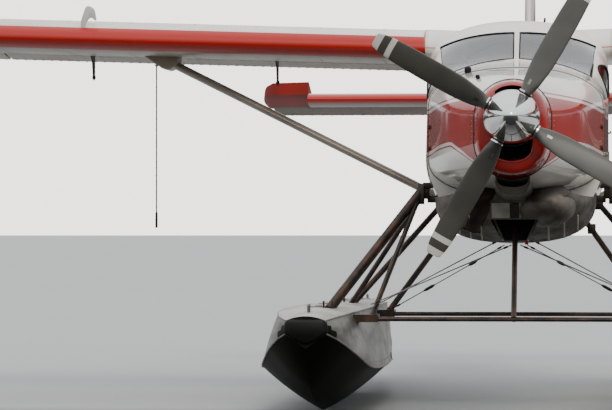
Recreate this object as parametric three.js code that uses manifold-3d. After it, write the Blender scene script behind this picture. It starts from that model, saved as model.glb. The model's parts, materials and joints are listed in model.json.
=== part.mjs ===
// A single-engined, high-winged turbine floatplane on twin floats.
// Millimetres, +Z up, nose towards -Y, so +X is the aircraft's own left side.
// Stations along Y are counted aft from the propeller's plane; the outer group
// then moves the whole model so that the middle of its length is the origin.
import * as THREE from 'three';
import { mergeVertices } from 'three/addons/utils/BufferGeometryUtils.js';
import Module from 'manifold-3d';

const wasm = await Module();
wasm.setup();

// Driving dimensions
const PLAY = 0.3; // gap between faces that touch
const SWING_GAP = 8; // gap round a piece that moves
const WALL = 30; // cabin side, roof and door thickness
const SIDES = { left: 1, right: -1 };

// Fuselage
const FIREWALL = 1750;
const CABIN_END = 6750;
const TAIL_END = 11500;
const CABIN_HALF_WIDTH = 850;
const ROOF_TOP = 3640;
const BELLY = 1510;
const CABIN_FLOOR = 2050;
const SHOULDER = 3200; // top of the flat cabin side
const WAIST = 2300; // bottom of the flat cabin side

// Nose
const HUB_HEIGHT = 2600;
const SPINNER_RADIUS = 245;
const SPINNER_NOSE = -470;
const SPINNER_BACK = 110;
const PROPELLER_RADIUS = 1345;
const BLADE_ANGLES = [60, 150, 240, 330];
const BOWL_FRONT = 180;
const BOWL_BACK = 460;

// Wing
const WING = {
  leadingEdge: 3150, chord: 1980, root: 500, tip: 8850, height: 3390,
  thickness: 0.165, camber: 0.03, dihedral: Math.tan((1.9 * Math.PI) / 180),
  incidence: (1.5 * Math.PI) / 180,
};
const FLAP_HINGE = 0.78; // share of the chord
const FLAP_SPAN = [1050, 5250];
const AILERON_SPAN = [5270, 8300];
const FLAP_DROOP = (9 * Math.PI) / 180; // flaps and ailerons, as parked
const HINGE_ARM_SPANS = [2444, 4314, 6300, 7900];
const STRUT_FOOT = [740, 3850, 1949];
const STRUT_HEAD = [3560, 3850, 3362];
const ROPE = { x: -3568, y: 3800, top: 3262, bottom: 1830, diameter: 15, endLength: 160 };

// Tail
const TAILPLANE = {
  leadingEdge: 10250, chord: 900, halfSpan: 2650, tipSpan: 3250, height: 3225,
  thickness: 0.11,
};
const ELEVATOR_CHORD = 560;
const ELEVATOR_DROOP = (14.5 * Math.PI) / 180;
const RUDDER_HINGE = 11560;
const FIN_TOP = 4750;
const RUDDER_END = 12400;

// Floats
const FLOAT_X = 1740;
const FLOAT_BOW = -200;
const FLOAT_LENGTH = 8600;
const STEP = 5100; // along the float from its bow
const CLEATS = [[350, 940], [7700, 880]]; // along the float, height of its foot
const WATER_RUDDER_HINGE = 35; // behind the stern
const FRONT_STRUT = 1000;
const REAR_STRUT = 3400;

const mid = (SPINNER_NOSE + RUDDER_END) / 2;

const aircraft = new THREE.Group();
const model = new THREE.Group();
model.position.y = -mid;
aircraft.add(model);

const paint = {
  white: { color: 0xe9e6e0, roughness: 0.3, metalness: 0.0 },
  red: { color: 0xb3281e, roughness: 0.25, metalness: 0.0 },
  bareMetal: { color: 0xb9b4ac, roughness: 0.45, metalness: 0.8 },
  darkMetal: { color: 0x4a4540, roughness: 0.5, metalness: 0.6 },
  chrome: { color: 0xd8d8d6, roughness: 0.08, metalness: 1.0 },
  blade: { color: 0x3d3d38, roughness: 0.55, metalness: 0.1 },
  glass: { color: 0x8d9298, roughness: 0.05, metalness: 0.0 },
  trim: { color: 0x2d2d30, roughness: 0.8, metalness: 0.0 },
  seat: { color: 0x55504a, roughness: 0.8, metalness: 0.0 },
  rope: { color: 0x3a3733, roughness: 0.9, metalness: 0.0 },
};

// Adds one named piece to the model.
function piece(name, geometry, finish) {
  const bare = geometry.index ? geometry.toNonIndexed() : geometry;
  bare.computeVertexNormals();
  const mesh = new THREE.Mesh(bare, new THREE.MeshStandardMaterial(paint[finish]));
  mesh.name = name;
  model.add(mesh);
}

// Turns a closed geometry into a solid for cutting and joining.
function solid(geometry) {
  const bare = new THREE.BufferGeometry();
  bare.setAttribute('position', geometry.getAttribute('position').clone());
  if (geometry.index) bare.setIndex(geometry.index.clone());
  const merged = mergeVertices(bare, 0.01);
  return new wasm.Manifold(new wasm.Mesh({
    numProp: 3,
    vertProperties: Float32Array.from(merged.getAttribute('position').array),
    triVerts: Uint32Array.from(merged.index.array),
  }));
}

// Turns a solid back into a geometry.
function geometryOf(body) {
  const mesh = body.getMesh();
  const geometry = new THREE.BufferGeometry();
  const positions = Float32Array.from(mesh.vertProperties);
  geometry.setAttribute('position', new THREE.BufferAttribute(positions, 3));
  geometry.setIndex(new THREE.BufferAttribute(Uint32Array.from(mesh.triVerts), 1));
  return geometry;
}

// Joins rings of points, each a loop of [x, y, z], into a closed skin with flat ends.
// Each four-sided face is split along the diagonal that keeps left and right alike.
function loft(rings) {
  const count = rings[0].length;
  const points = rings.flat();
  const faces = [];
  for (let r = 0; r + 1 < rings.length; r += 1) {
    for (let i = 0; i < count; i += 1) {
      const j = (i + 1) % count;
      const [a, b] = [r * count + i, r * count + j];
      const onLeft = points[a][0] + points[b][0] > 0;
      if (onLeft) faces.push([a, b, b + count], [a, b + count, a + count]);
      else faces.push([a, b, a + count], [b, b + count, a + count]);
    }
  }
  [[rings[0], 0, true], [rings.at(-1), (rings.length - 1) * count, false]]
    .forEach(([ring, start, first]) => {
      const centre = [0, 1, 2].map((k) => ring.reduce((sum, p) => sum + p[k], 0) / count);
      points.push(centre);
      for (let i = 0; i < count; i += 1) {
        const [a, b] = [start + i, start + ((i + 1) % count)];
        faces.push(first ? [points.length - 1, b, a] : [points.length - 1, a, b]);
      }
    });
  let volume = 0;
  faces.forEach(([a, b, c]) => {
    const [p, q, s] = [points[a], points[b], points[c]].map((t) => new THREE.Vector3(...t));
    volume += p.dot(q.cross(s));
  });
  const turned = volume < 0 ? faces.map(([a, b, c]) => [a, c, b]) : faces;
  const geometry = new THREE.BufferGeometry();
  geometry.setAttribute('position', new THREE.Float32BufferAttribute(points.flat(), 3));
  geometry.setIndex(turned.flat());
  return geometry;
}

// A point on a quarter of a rounded corner: 0 at its side, 1 at its top.
function corner(width, height, share, power) {
  const angle = (share * Math.PI) / 2;
  return [
    width * Math.abs(Math.cos(angle)) ** (2 / power),
    height * Math.abs(Math.sin(angle)) ** (2 / power),
  ];
}

// One loop round the fuselage: an arched top, flat sides and a rounded bottom.
// A bow sweeps the upper sides back from the middle.
function bodyRing(section, grow = 0, steps = 6) {
  const { y, half, top, shoulder, waist, bottom, bow = 0, topPower = 2.2, bottomPower = 1.9 } = section;
  const width = half + grow;
  const ring = [];
  for (let i = -steps; i <= steps; i += 1) {
    const [x, z] = corner(width, top + grow - shoulder, 1 - Math.abs(i) / steps, topPower);
    const px = Math.sign(i) * x;
    ring.push([px, y + bow * (px / width) ** 2, shoulder + z]);
  }
  for (let i = steps; i >= -steps; i -= 1) {
    const [x, z] = corner(width, waist - bottom + grow, 1 - Math.abs(i) / steps, bottomPower);
    ring.push([Math.sign(i) * x, y, waist - z]);
  }
  return ring;
}

// A rounded rectangle in the Y-Z plane, pushed along X from x0 to x1.
function sidePanel([y0, y1], [z0, z1], radius, x0, x1, steps = 3) {
  const shape = new THREE.Shape();
  shape.moveTo(y0 + radius, z0);
  shape.lineTo(y1 - radius, z0);
  shape.absarc(y1 - radius, z0 + radius, radius, -Math.PI / 2, 0);
  shape.lineTo(y1, z1 - radius);
  shape.absarc(y1 - radius, z1 - radius, radius, 0, Math.PI / 2);
  shape.lineTo(y0 + radius, z1);
  shape.absarc(y0 + radius, z1 - radius, radius, Math.PI / 2, Math.PI);
  shape.lineTo(y0, z0 + radius);
  shape.absarc(y0 + radius, z0 + radius, radius, Math.PI, Math.PI * 1.5);
  return alongX(shape, x0, x1, steps);
}

// Pushes a shape drawn in Y and Z along X.
function alongX(shape, x0, x1, steps = 6) {
  const geometry = new THREE.ExtrudeGeometry(shape, {
    depth: Math.abs(x1 - x0), bevelEnabled: false, curveSegments: steps,
  });
  const turn = new THREE.Matrix4().makeBasis(
    new THREE.Vector3(0, 1, 0), new THREE.Vector3(0, 0, 1), new THREE.Vector3(1, 0, 0),
  );
  geometry.applyMatrix4(turn);
  geometry.translate(Math.min(x0, x1), 0, 0);
  return geometry;
}

// Pushes a polygon drawn in X and Z along Y.
function alongY(points, y0, y1) {
  return loft([y0, y1].map((y) => points.map(([x, z]) => [x, y, z])));
}

// A straight bar of oval section between two points; the section's long side lies along Y.
function bar(from, to, thickness, chord, sides = 10) {
  const [a, b] = [new THREE.Vector3(...from), new THREE.Vector3(...to)];
  const along = b.clone().sub(a).normalize();
  const nearY = new THREE.Vector3(0, 1, 0);
  const across = nearY.clone().addScaledVector(along, -nearY.dot(along)).normalize();
  const other = along.clone().cross(across);
  return loft([a, b].map((end) => Array.from({ length: sides }, (_, i) => {
    const angle = ((i + 0.5) * 2 * Math.PI) / sides;
    return end.clone()
      .addScaledVector(across, (Math.cos(angle) * chord) / 2)
      .addScaledVector(other, (Math.sin(angle) * thickness) / 2)
      .toArray();
  })));
}

function box([x0, x1], [y0, y1], [z0, z1]) {
  const geometry = new THREE.BoxGeometry(x1 - x0, y1 - y0, z1 - z0);
  geometry.translate((x0 + x1) / 2, (y0 + y1) / 2, (z0 + z1) / 2);
  return geometry;
}

// Swaps left and right.
function mirror(geometry) {
  const copy = geometry.index ? geometry.toNonIndexed() : geometry.clone();
  const position = copy.getAttribute('position');
  for (let i = 0; i < position.count; i += 3) {
    const corners = [0, 1, 2].map((k) => new THREE.Vector3().fromBufferAttribute(position, i + k));
    [0, 2, 1].forEach((from, k) => {
      position.setXYZ(i + k, -corners[from].x, corners[from].y, corners[from].z);
    });
  }
  return copy;
}

// Adds a left piece and its mirror image.
function pair(name, geometry, finish) {
  piece(`${name}_left`, geometry, finish);
  piece(`${name}_right`, mirror(geometry), finish);
}

const join = (...parts) => parts.reduce((sum, part) => sum.add(part));
const cut = (body, ...tools) => tools.reduce((rest, tool) => rest.subtract(tool), body);

// Fuselage sections, from the firewall aft
const cabinSections = [
  { y: FIREWALL, half: 800, top: 3130, shoulder: 2760, waist: WAIST, bottom: 1530 },
  { y: 2150, half: 830, top: 3210, shoulder: 2840, waist: WAIST, bottom: BELLY, bow: 420 },
  { y: 2560, half: CABIN_HALF_WIDTH, top: 3520, shoulder: 3080, waist: WAIST, bottom: BELLY, bow: 340 },
  { y: 3150, half: CABIN_HALF_WIDTH, top: ROOF_TOP, shoulder: SHOULDER, waist: WAIST, bottom: BELLY },
  { y: 5130, half: CABIN_HALF_WIDTH, top: 3590, shoulder: SHOULDER, waist: WAIST, bottom: BELLY + 30 },
  { y: CABIN_END, half: CABIN_HALF_WIDTH, top: 3530, shoulder: SHOULDER, waist: WAIST, bottom: 1700 },
];
const tailSections = [
  { y: CABIN_END, half: CABIN_HALF_WIDTH, top: 3530, shoulder: SHOULDER, waist: WAIST, bottom: 1700 },
  { y: 8600, half: 560, top: 3440, shoulder: 3130, waist: 2560, bottom: 2080 },
  { y: 10200, half: 290, top: 3360, shoulder: 3150, waist: 2780, bottom: 2450 },
  { y: TAIL_END, half: 75, top: 3300, shoulder: 3200, waist: 2900, bottom: 2720 },
];
const INNER_HALF_WIDTH = CABIN_HALF_WIDTH - WALL;
const hollowSections = [
  { y: FIREWALL + 60, half: 770, top: 3100, shoulder: 2760 },
  { y: 2150 + 30, half: 800, top: 3175, shoulder: 2840, bow: 420 },
  { y: 2560 + 20, half: INNER_HALF_WIDTH, top: 3480, shoulder: 3080, bow: 340 },
  { y: 3150, half: INNER_HALF_WIDTH, top: ROOF_TOP - 90, shoulder: SHOULDER },
  { y: 5130, half: INNER_HALF_WIDTH, top: 3500, shoulder: SHOULDER },
  { y: CABIN_END - WALL, half: INNER_HALF_WIDTH, top: 3460, shoulder: SHOULDER },
].map((s) => ({ ...s, waist: WAIST, bottom: CABIN_FLOOR - 60, bottomPower: 5 }));

// The hollow inside the cabin stands on a flat floor.
const aboveFloor = solid(box([-1000, 1000], [1000, 7000], [CABIN_FLOOR, 4000]));
const cabinOuter = solid(loft(cabinSections.map((s) => bodyRing(s))));
const cabinHollow = solid(loft(hollowSections.map((s) => bodyRing(s)))).intersect(aboveFloor);
const bodyCutter = solid(loft([
  ...cabinSections.map((s) => bodyRing(s, PLAY)),
  ...tailSections.slice(1).map((s) => bodyRing(s, PLAY)),
]));

// Windows and doors: [from, to] along Y, [from, to] in height
const WINDSCREEN = { inner: 28, outer: 690, base: 3225, baseOuter: 3065, top: 3488, topOuter: 3380 };
const SIDE_WINDOWS = [[3930, 4330], [4480, 4880]];
const REAR_WINDOWS = { left: [], right: [[5030, 5280]] };
const WINDOW_HEIGHT = [2780, 3130];
const QUARTER_WINDOW = { along: [2645, 2880], height: [2890, 3190] };
const WINDOW_RADIUS = 90;
const CREW_DOOR = { along: [2960, 3700], height: [2150, 3180], window: [[3090, 3600], [2700, 3110]] };
const CABIN_DOORS = {
  left: { along: [5380, 6480], height: [2120, 3180], window: [[5700, 6160], [2780, 3110]] },
  right: { along: [5380, 6160], height: [2120, 3180], window: [[5560, 5960], [2780, 3110]] },
};
const DOOR_RADIUS = 60;

function sideCut(side, along, height, radius) {
  const [near, far] = [600, 1000].map((x) => x * SIDES[side]);
  return solid(sidePanel(along, height, radius, near, far));
}

// A door is the piece of wall inside its opening, less the gap round it. Its front
// inner edge is cut back at a slant, so that it clears the jamb as it swings.
function door(side, { along: [y0, y1], height: [z0, z1], window: [glassAlong, glassHeight] }) {
  const sign = SIDES[side];
  const inset = SWING_GAP;
  const blank = sideCut(side, [y0 + inset, y1 - inset], [z0 + inset, z1 - inset], DOOR_RADIUS - inset);
  const slant = [
    [sign * 900, y0 - 100], [sign * (CABIN_HALF_WIDTH - 1), y0 + inset], [sign * 700, y0 + inset + 300],
    [sign * 700, y0 - 100],
  ];
  const wedge = solid(loft([z0 - 50, z1 + 50].map((z) => slant.map(([x, y]) => [x, y, z]))));
  return cut(
    cabinOuter.intersect(blank),
    cabinHollow,
    wedge,
    sideCut(side, glassAlong, glassHeight, WINDOW_RADIUS),
  );
}

function buildCabin() {
  const { inner, outer, base, baseOuter, top, topOuter } = WINDSCREEN;
  const screens = [1, -1].map((sign) => solid(alongY([
    [sign * inner, base], [sign * outer * 0.55, base - 50], [sign * outer, baseOuter],
    [sign * (outer + 40), topOuter], [sign * outer * 0.6, top - 28], [sign * inner, top],
  ], 2000, 3120)));
  const cuts = Object.keys(SIDES).flatMap((side) => [
    ...[...SIDE_WINDOWS, ...REAR_WINDOWS[side]].map((along) => (
      sideCut(side, along, WINDOW_HEIGHT, WINDOW_RADIUS)
    )),
    sideCut(side, QUARTER_WINDOW.along, QUARTER_WINDOW.height, WINDOW_RADIUS),
    sideCut(side, CREW_DOOR.along, CREW_DOOR.height, DOOR_RADIUS),
    sideCut(side, CABIN_DOORS[side].along, CABIN_DOORS[side].height, DOOR_RADIUS),
  ]);
  piece('cabin_shell', geometryOf(cut(cabinOuter, cabinHollow, ...screens, ...cuts)), 'white');
  Object.keys(SIDES).forEach((side) => {
    piece(`crew_door_${side}`, geometryOf(door(side, CREW_DOOR)), 'white');
    piece(`cabin_door_${side}`, geometryOf(door(side, CABIN_DOORS[side])), 'white');
  });
}

function buildGlass() {
  const inside = (grow) => solid(loft(hollowSections.map((s) => bodyRing(s, grow))));
  const lining = cut(inside(-PLAY), inside(-12));
  const screenArea = join(
    solid(box([-760, 760], [2150, 2950], [3020, 3520])),
    ...[760, -760].map((x) => solid(box([x - 70, x + 70], [2590, 2905], [2850, 3230]))),
  );
  piece('windscreen', geometryOf(lining.intersect(screenArea)), 'glass');
  pair('cabin_glass', box([820 - 12, 820 - PLAY], [3880, 5330], [2740, 3170]), 'glass');
}

function buildTailCone() {
  const ahead = CABIN_END + PLAY;
  const outer = solid(loft(tailSections.map((s, i) => bodyRing(i ? s : { ...s, y: ahead }))));
  const inner = solid(loft(tailSections.map((s, i) => bodyRing({
    ...s, y: i ? s.y - 100 : ahead - 1, waist: s.waist, shoulder: s.shoulder,
  }, -WALL))));
  return cut(outer, inner);
}

function buildNose() {
  const cowlSections = [
    { y: BOWL_BACK + PLAY, half: 335, top: 2950, shoulder: 2620, waist: 2400, bottom: 2085 },
    { y: 1000, half: 610, top: 3035, shoulder: 2680, waist: 2330, bottom: 2000, topPower: 2.1 },
    { y: FIREWALL - PLAY, half: 790, top: 3120, shoulder: 2760, waist: WAIST, bottom: 1960, topPower: 2.2 },
  ].map((s, i) => ({ topPower: 2, bottomPower: [2, 2.2, 2.4][i], ...s }));
  const outer = solid(loft(cowlSections.map((s) => bodyRing(s))));
  const inner = solid(loft(cowlSections.map((s, i) => bodyRing({ ...s, y: s.y + [-5, 0, 5][i] }, -20))));
  piece('engine_cowl', geometryOf(cut(outer, inner)), 'red');

  const bowlSections = [
    { y: BOWL_FRONT, half: 265, top: 2870, shoulder: 2600, waist: 2420, bottom: 2160 },
    { y: BOWL_FRONT + 60, half: 310, top: 2922, shoulder: 2610, waist: 2410, bottom: 2117 },
    { y: BOWL_BACK, half: 335, top: 2950, shoulder: 2620, waist: 2400, bottom: 2085 },
  ].map((s) => ({ topPower: 2, bottomPower: 2, ...s }));
  const bowl = solid(loft(bowlSections.map((s) => bodyRing(s))));
  const intake = solid(alongY([
    [-150, 2798], [-80, 2824], [0, 2832], [80, 2824], [150, 2798], [146, 2830], [80, 2863], [0, 2874],
    [-80, 2863], [-146, 2830],
  ], 100, 600));
  const chin = solid(alongY([
    [-190, 2420], [-168, 2310], [-110, 2250], [0, 2226], [110, 2250], [168, 2310], [190, 2420],
  ], 100, 600));
  const shaftHole = new THREE.CylinderGeometry(100, 100, 600, 20);
  shaftHole.translate(0, 300, HUB_HEIGHT);
  piece('nose_bowl', geometryOf(cut(bowl, intake, chin, solid(shaftHole))), 'red');

  piece('engine', box([-250, 250], [560, FIREWALL - PLAY], [2330, 2830]), 'darkMetal');

  // The sheet-metal fairing under the engine, with its bulge and its open middle
  const exhaustRoom = solid(pipe([[-266, 1020, 2056], ...EXHAUST, [-366, 1530, 1704]], 115 + PLAY));
  const cowlRoom = solid(loft(cowlSections.map((s) => bodyRing(s, PLAY))));
  const swell = (grow) => {
    const ball = new THREE.SphereGeometry(1, 16, 10);
    ball.scale(270 + grow, 350 + grow, 200 + grow);
    return solid(ball.translate(280, 1300, 1870));
  };
  piece('belly_fairing', geometryOf(cut(
    join(solid(noseUnderside(0)), swell(0)),
    cowlRoom, bellyOpening(), exhaustRoom,
  )), 'bareMetal');

  const bore = pipe([...EXHAUST.slice(1), [-375, 1560, 1672]], 103);
  piece('exhaust', geometryOf(cut(solid(pipe(EXHAUST, 115)), cowlRoom, solid(bore))), 'darkMetal');

  const scoopRing = ([y, half, top, low], grow = 0) => [
    [-half, top], [half, top], [half * 0.92, (top + 2 * low) / 3], [half * 0.5, low], [-half * 0.5, low],
    [-half * 0.92, (top + 2 * low) / 3],
  ].map(([x, z]) => [x - Math.sign(x) * grow, y, z + (z < top ? grow : 0)]);
  const scoop = [[480, 150, 2120, 1963], [700, 165, 2110, 1945], [1050 - PLAY, 175, 2060, 1905]];
  piece('intake_scoop', geometryOf(cut(
    solid(loft(scoop.map((s) => scoopRing(s)))), cowlRoom, swell(2 * PLAY), exhaustRoom,
    solid(loft([[470, 150, 2120, 2003], [760, 165, 2110, 1990]].map((s) => scoopRing(s, 12)))),
  )), 'bareMetal');
}

// The exhaust's middle line, from inside the cowl to its open end
const EXHAUST = [[-270, 1050, 2030], [-290, 1200, 1900], [-330, 1350, 1800], [-360, 1500, 1720]];

// A round pipe along a path.
function pipe(path, radius, sides = 14) {
  const points = path.map((p) => new THREE.Vector3(...p));
  return loft(points.map((point, i) => {
    const along = points[Math.min(i + 1, points.length - 1)].clone()
      .sub(points[Math.max(i - 1, 0)]).normalize();
    const side = new THREE.Vector3(1, 0, 0).addScaledVector(along, -along.x).normalize();
    const other = along.clone().cross(side);
    return Array.from({ length: sides }, (_, k) => {
      const angle = (k * 2 * Math.PI) / sides;
      return point.clone().addScaledVector(side, radius * Math.cos(angle))
        .addScaledVector(other, radius * Math.sin(angle)).toArray();
    });
  }));
}

// The opening in the middle of the belly fairing, that the centre post stands in.
function bellyOpening() {
  return solid(alongY([[-215, 1740], [-80, 1480], [80, 1480], [215, 1740]], 1000, 1680));
}

// The sloping underside between the cowl and the firewall: station, half width, top, bottom.
function noseUnderside(grow) {
  return loft([
    [1050, 470, 1985, 1900], [1400, 640, 1950, 1640], [FIREWALL - PLAY, 730, 1945, 1530],
  ].map(([y, half, top, bottom]) => [
    [-half, y, top], [half, y, top], [half * 0.92, y, (top + bottom) / 2],
    [half * 0.55, y, bottom + 25 - grow], [0, y, bottom - grow], [-half * 0.55, y, bottom + 25 - grow],
    [-half * 0.92, y, (top + bottom) / 2],
  ]));
}

function buildPropeller() {
  const stations = [
    [60, 45, 45, 0], [200, 50, 46, 10], [255, 55, 38, 20], [340, 85, 32, 30], [560, 108, 22, 24],
    [900, 105, 15, 18], [1230, 88, 10, 14], [1310, 70, 8, 13], [PROPELLER_RADIUS, 38, 6, 13],
  ];
  const blade = loft(stations.map(([radius, half, thick, pitch]) => {
    const turn = (pitch * Math.PI) / 180;
    return Array.from({ length: 10 }, (_, i) => {
      const angle = (i * 2 * Math.PI) / 10;
      const [u, w] = [half * Math.cos(angle), thick * Math.sin(angle)];
      return [radius, u * Math.sin(turn) + w * Math.cos(turn), u * Math.cos(turn) - w * Math.sin(turn)];
    });
  }));
  const hub = new THREE.CylinderGeometry(110, 110, 120, 16);
  const shaft = new THREE.CylinderGeometry(70, 70, 330, 16);
  shaft.translate(0, 165, 0);
  let rotor = solid(hub).add(solid(shaft));
  BLADE_ANGLES.forEach((degrees) => {
    const turned = blade.clone().rotateY((-degrees * Math.PI) / 180);
    rotor = rotor.add(solid(turned));
  });
  const rotorGeometry = geometryOf(rotor);
  rotorGeometry.translate(0, 0, HUB_HEIGHT);
  piece('propeller', rotorGeometry, 'blade');

  const profile = [[0, SPINNER_NOSE], [30, -460], [96, -385], [165, -262], [216, -128],
    [SPINNER_RADIUS, 0], [SPINNER_RADIUS, SPINNER_BACK], [0, SPINNER_BACK]]
    .map(([radius, y]) => new THREE.Vector2(radius, y));
  let spinner = solid(new THREE.LatheGeometry(profile, 32));
  const hubPocket = new THREE.CylinderGeometry(112, 112, 124, 16);
  const shaftHole = new THREE.CylinderGeometry(72, 72, 400, 16);
  shaftHole.translate(0, 200, 0);
  spinner = cut(spinner, solid(hubPocket), solid(shaftHole));
  BLADE_ANGLES.forEach((degrees) => {
    const slot = new THREE.CylinderGeometry(66, 66, 400, 16);
    slot.rotateZ(Math.PI / 2);
    slot.translate(200, 0, 0);
    slot.rotateY((-degrees * Math.PI) / 180);
    spinner = spinner.subtract(solid(slot));
  });
  const spinnerGeometry = geometryOf(spinner);
  spinnerGeometry.translate(0, 0, HUB_HEIGHT);
  piece('spinner', spinnerGeometry, 'chrome');
}

// Half thickness and camber of a wing section, as shares of the chord.
const halfThickness = (t, s) => 5 * t * (
  0.2969 * Math.sqrt(s) - 0.126 * s - 0.3516 * s ** 2 + 0.2843 * s ** 3 - 0.1015 * s ** 4
);
const camberAt = (m, s) => (s < 0.4
  ? (m / 0.16) * (0.8 * s - s * s)
  : (m / 0.36) * (0.2 + 0.8 * s - s * s));

// Points [y, z] round a wing section between two shares of its chord, blunt at the back.
function sectionPoints({ chord, thickness, camber = 0 }, from, to, steps = 7) {
  const shares = Array.from({ length: steps + 1 }, (_, i) => {
    const even = i / steps;
    return from + (to - from) * (from === 0 ? even ** 1.8 : even);
  });
  const point = (s, sign) => [
    s * chord, (camberAt(camber, s) + sign * Math.max(halfThickness(thickness, s), 0.002)) * chord,
  ];
  const lower = shares.map((s) => point(s, -1));
  const upper = shares.map((s) => point(s, 1)).reverse();
  if (from === 0) upper.pop();
  return [...lower, ...upper];
}

// A hinged surface: a round nose about the hinge, then the section's back end.
function hingedPoints(foil, hinge, steps = 3) {
  const radius = halfThickness(foil.thickness, hinge) * foil.chord;
  const centre = [hinge * foil.chord, camberAt(foil.camber ?? 0, hinge) * foil.chord];
  const nose = Array.from({ length: 5 }, (_, i) => {
    const angle = Math.PI / 2 + (i * Math.PI) / 4;
    return [centre[0] + radius * Math.cos(angle), centre[1] + radius * Math.sin(angle)];
  });
  const back = sectionPoints(foil, hinge, 1, steps);
  return { points: [...nose, ...back.slice(1, -1)], centre, radius };
}

function wingHeight(x) {
  return WING.height + WING.dihedral * (x - CABIN_HALF_WIDTH);
}

// One station of the left wing; near the tip the chord and depth shrink about 42% chord.
function wingRing(points, x, shrink = 1) {
  const middle = 0.42 * WING.chord;
  const shrunk = points.map(([y, z]) => [middle + (y - middle) * shrink, z * shrink]);
  return turnAbout(shrunk, [0, 0], -WING.incidence)
    .map(([y, z]) => [x, WING.leadingEdge + y, wingHeight(x) + z]);
}

function buildWing() {
  const { radius, centre, points: straight } = hingedPoints(WING, FLAP_HINGE);
  const flapPoints = turnAbout(straight, centre, -FLAP_DROOP);
  const coveShare = FLAP_HINGE - (radius + SWING_GAP) / WING.chord;
  const whole = sectionPoints(WING, 0, 1, 9);
  const spans = [[WING.root, 1], [8450, 1], [8650, 0.93], [8780, 0.78], [WING.tip, 0.5]];
  const wing = solid(loft(spans.map(([x, shrink]) => wingRing(whole, x, shrink))));
  const coveY = WING.leadingEdge + coveShare * WING.chord;
  const coves = [FLAP_SPAN, AILERON_SPAN].map(([inner, outer]) => solid(box(
    [inner - SWING_GAP, outer + SWING_GAP], [coveY, coveY + 1000], [3000, 4200],
  )));
  const arms = HINGE_ARM_SPANS.map((x) => {
    const under = wingHeight(x) - 40;
    const shape = new THREE.Shape([
      [coveY - 420, under], [coveY - 12, under], [coveY - 12, under - 290], [coveY - 60, under - 300],
      [coveY - 150, under - 90],
    ].map(([y, z]) => new THREE.Vector2(y, z)));
    return solid(alongX(shape, x - 11, x + 11));
  });
  // A fairing over the strut's head, with the lug that the mooring rope is tied to
  const headY = STRUT_HEAD[1];
  const headFairing = (grow) => solid(alongY([
    [3700 + grow, 3480], [3700 + grow, 3372 - grow], [3510, 3240 - grow], [3440, 3222 - grow],
    [3350 - grow, 3275 - grow], [3350 - grow, 3480],
  ], headY - 130 - grow, headY + 210 + grow));
  const lug = solid(box([-ROPE.x - 6, -ROPE.x + 6], [ROPE.y - 25, ROPE.y + 60], [ROPE.top, ROPE.top + 160]));
  pair('wing', geometryOf(join(cut(wing, bodyCutter, ...coves), ...arms, headFairing(0), lug)), 'red');
  const surface = ([inner, outer]) => loft([inner, outer].map((x) => wingRing(flapPoints, x)));
  pair('flap', surface(FLAP_SPAN), 'bareMetal');
  pair('aileron', surface(AILERON_SPAN), 'bareMetal');
  const strut = solid(bar(STRUT_FOOT, STRUT_HEAD, 80, 210, 12));
  const wingCutter = solid(loft(spans.map(([x, shrink]) => wingRing(
    whole.map(([y, z]) => [y, z - 0.5]), x, shrink,
  ))));
  pair('wing_strut', geometryOf(cut(strut, bodyCutter, wingCutter, headFairing(PLAY))), 'bareMetal');
}

// The mooring rope that hangs from the right wing, and the grip on its end.
function buildRope() {
  const steps = 36;
  const across = (radius) => new THREE.Shape(Array.from({ length: 8 }, (_, i) => (
    new THREE.Vector2(radius * Math.cos((i * Math.PI) / 4), radius * Math.sin((i * Math.PI) / 4))
  )));
  const hang = (z0, z1, diameter, count) => {
    const path = new THREE.LineCurve3(
      new THREE.Vector3(ROPE.x, ROPE.y, z0), new THREE.Vector3(ROPE.x, ROPE.y, z1),
    );
    return new THREE.ExtrudeGeometry(across(diameter / 2), { steps: count, extrudePath: path });
  };
  piece('mooring_rope', hang(ROPE.top - PLAY, ROPE.bottom, ROPE.diameter, steps), 'rope');
  const end = ROPE.bottom - PLAY;
  piece('rope_grip', hang(end, end - ROPE.endLength, 26, 1), 'trim');
}

// Turns points [y, z] about a centre.
function turnAbout(points, [cy, cz], angle) {
  return points.map(([y, z]) => [
    cy + (y - cy) * Math.cos(angle) - (z - cz) * Math.sin(angle),
    cz + (y - cy) * Math.sin(angle) + (z - cz) * Math.cos(angle),
  ]);
}

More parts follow.
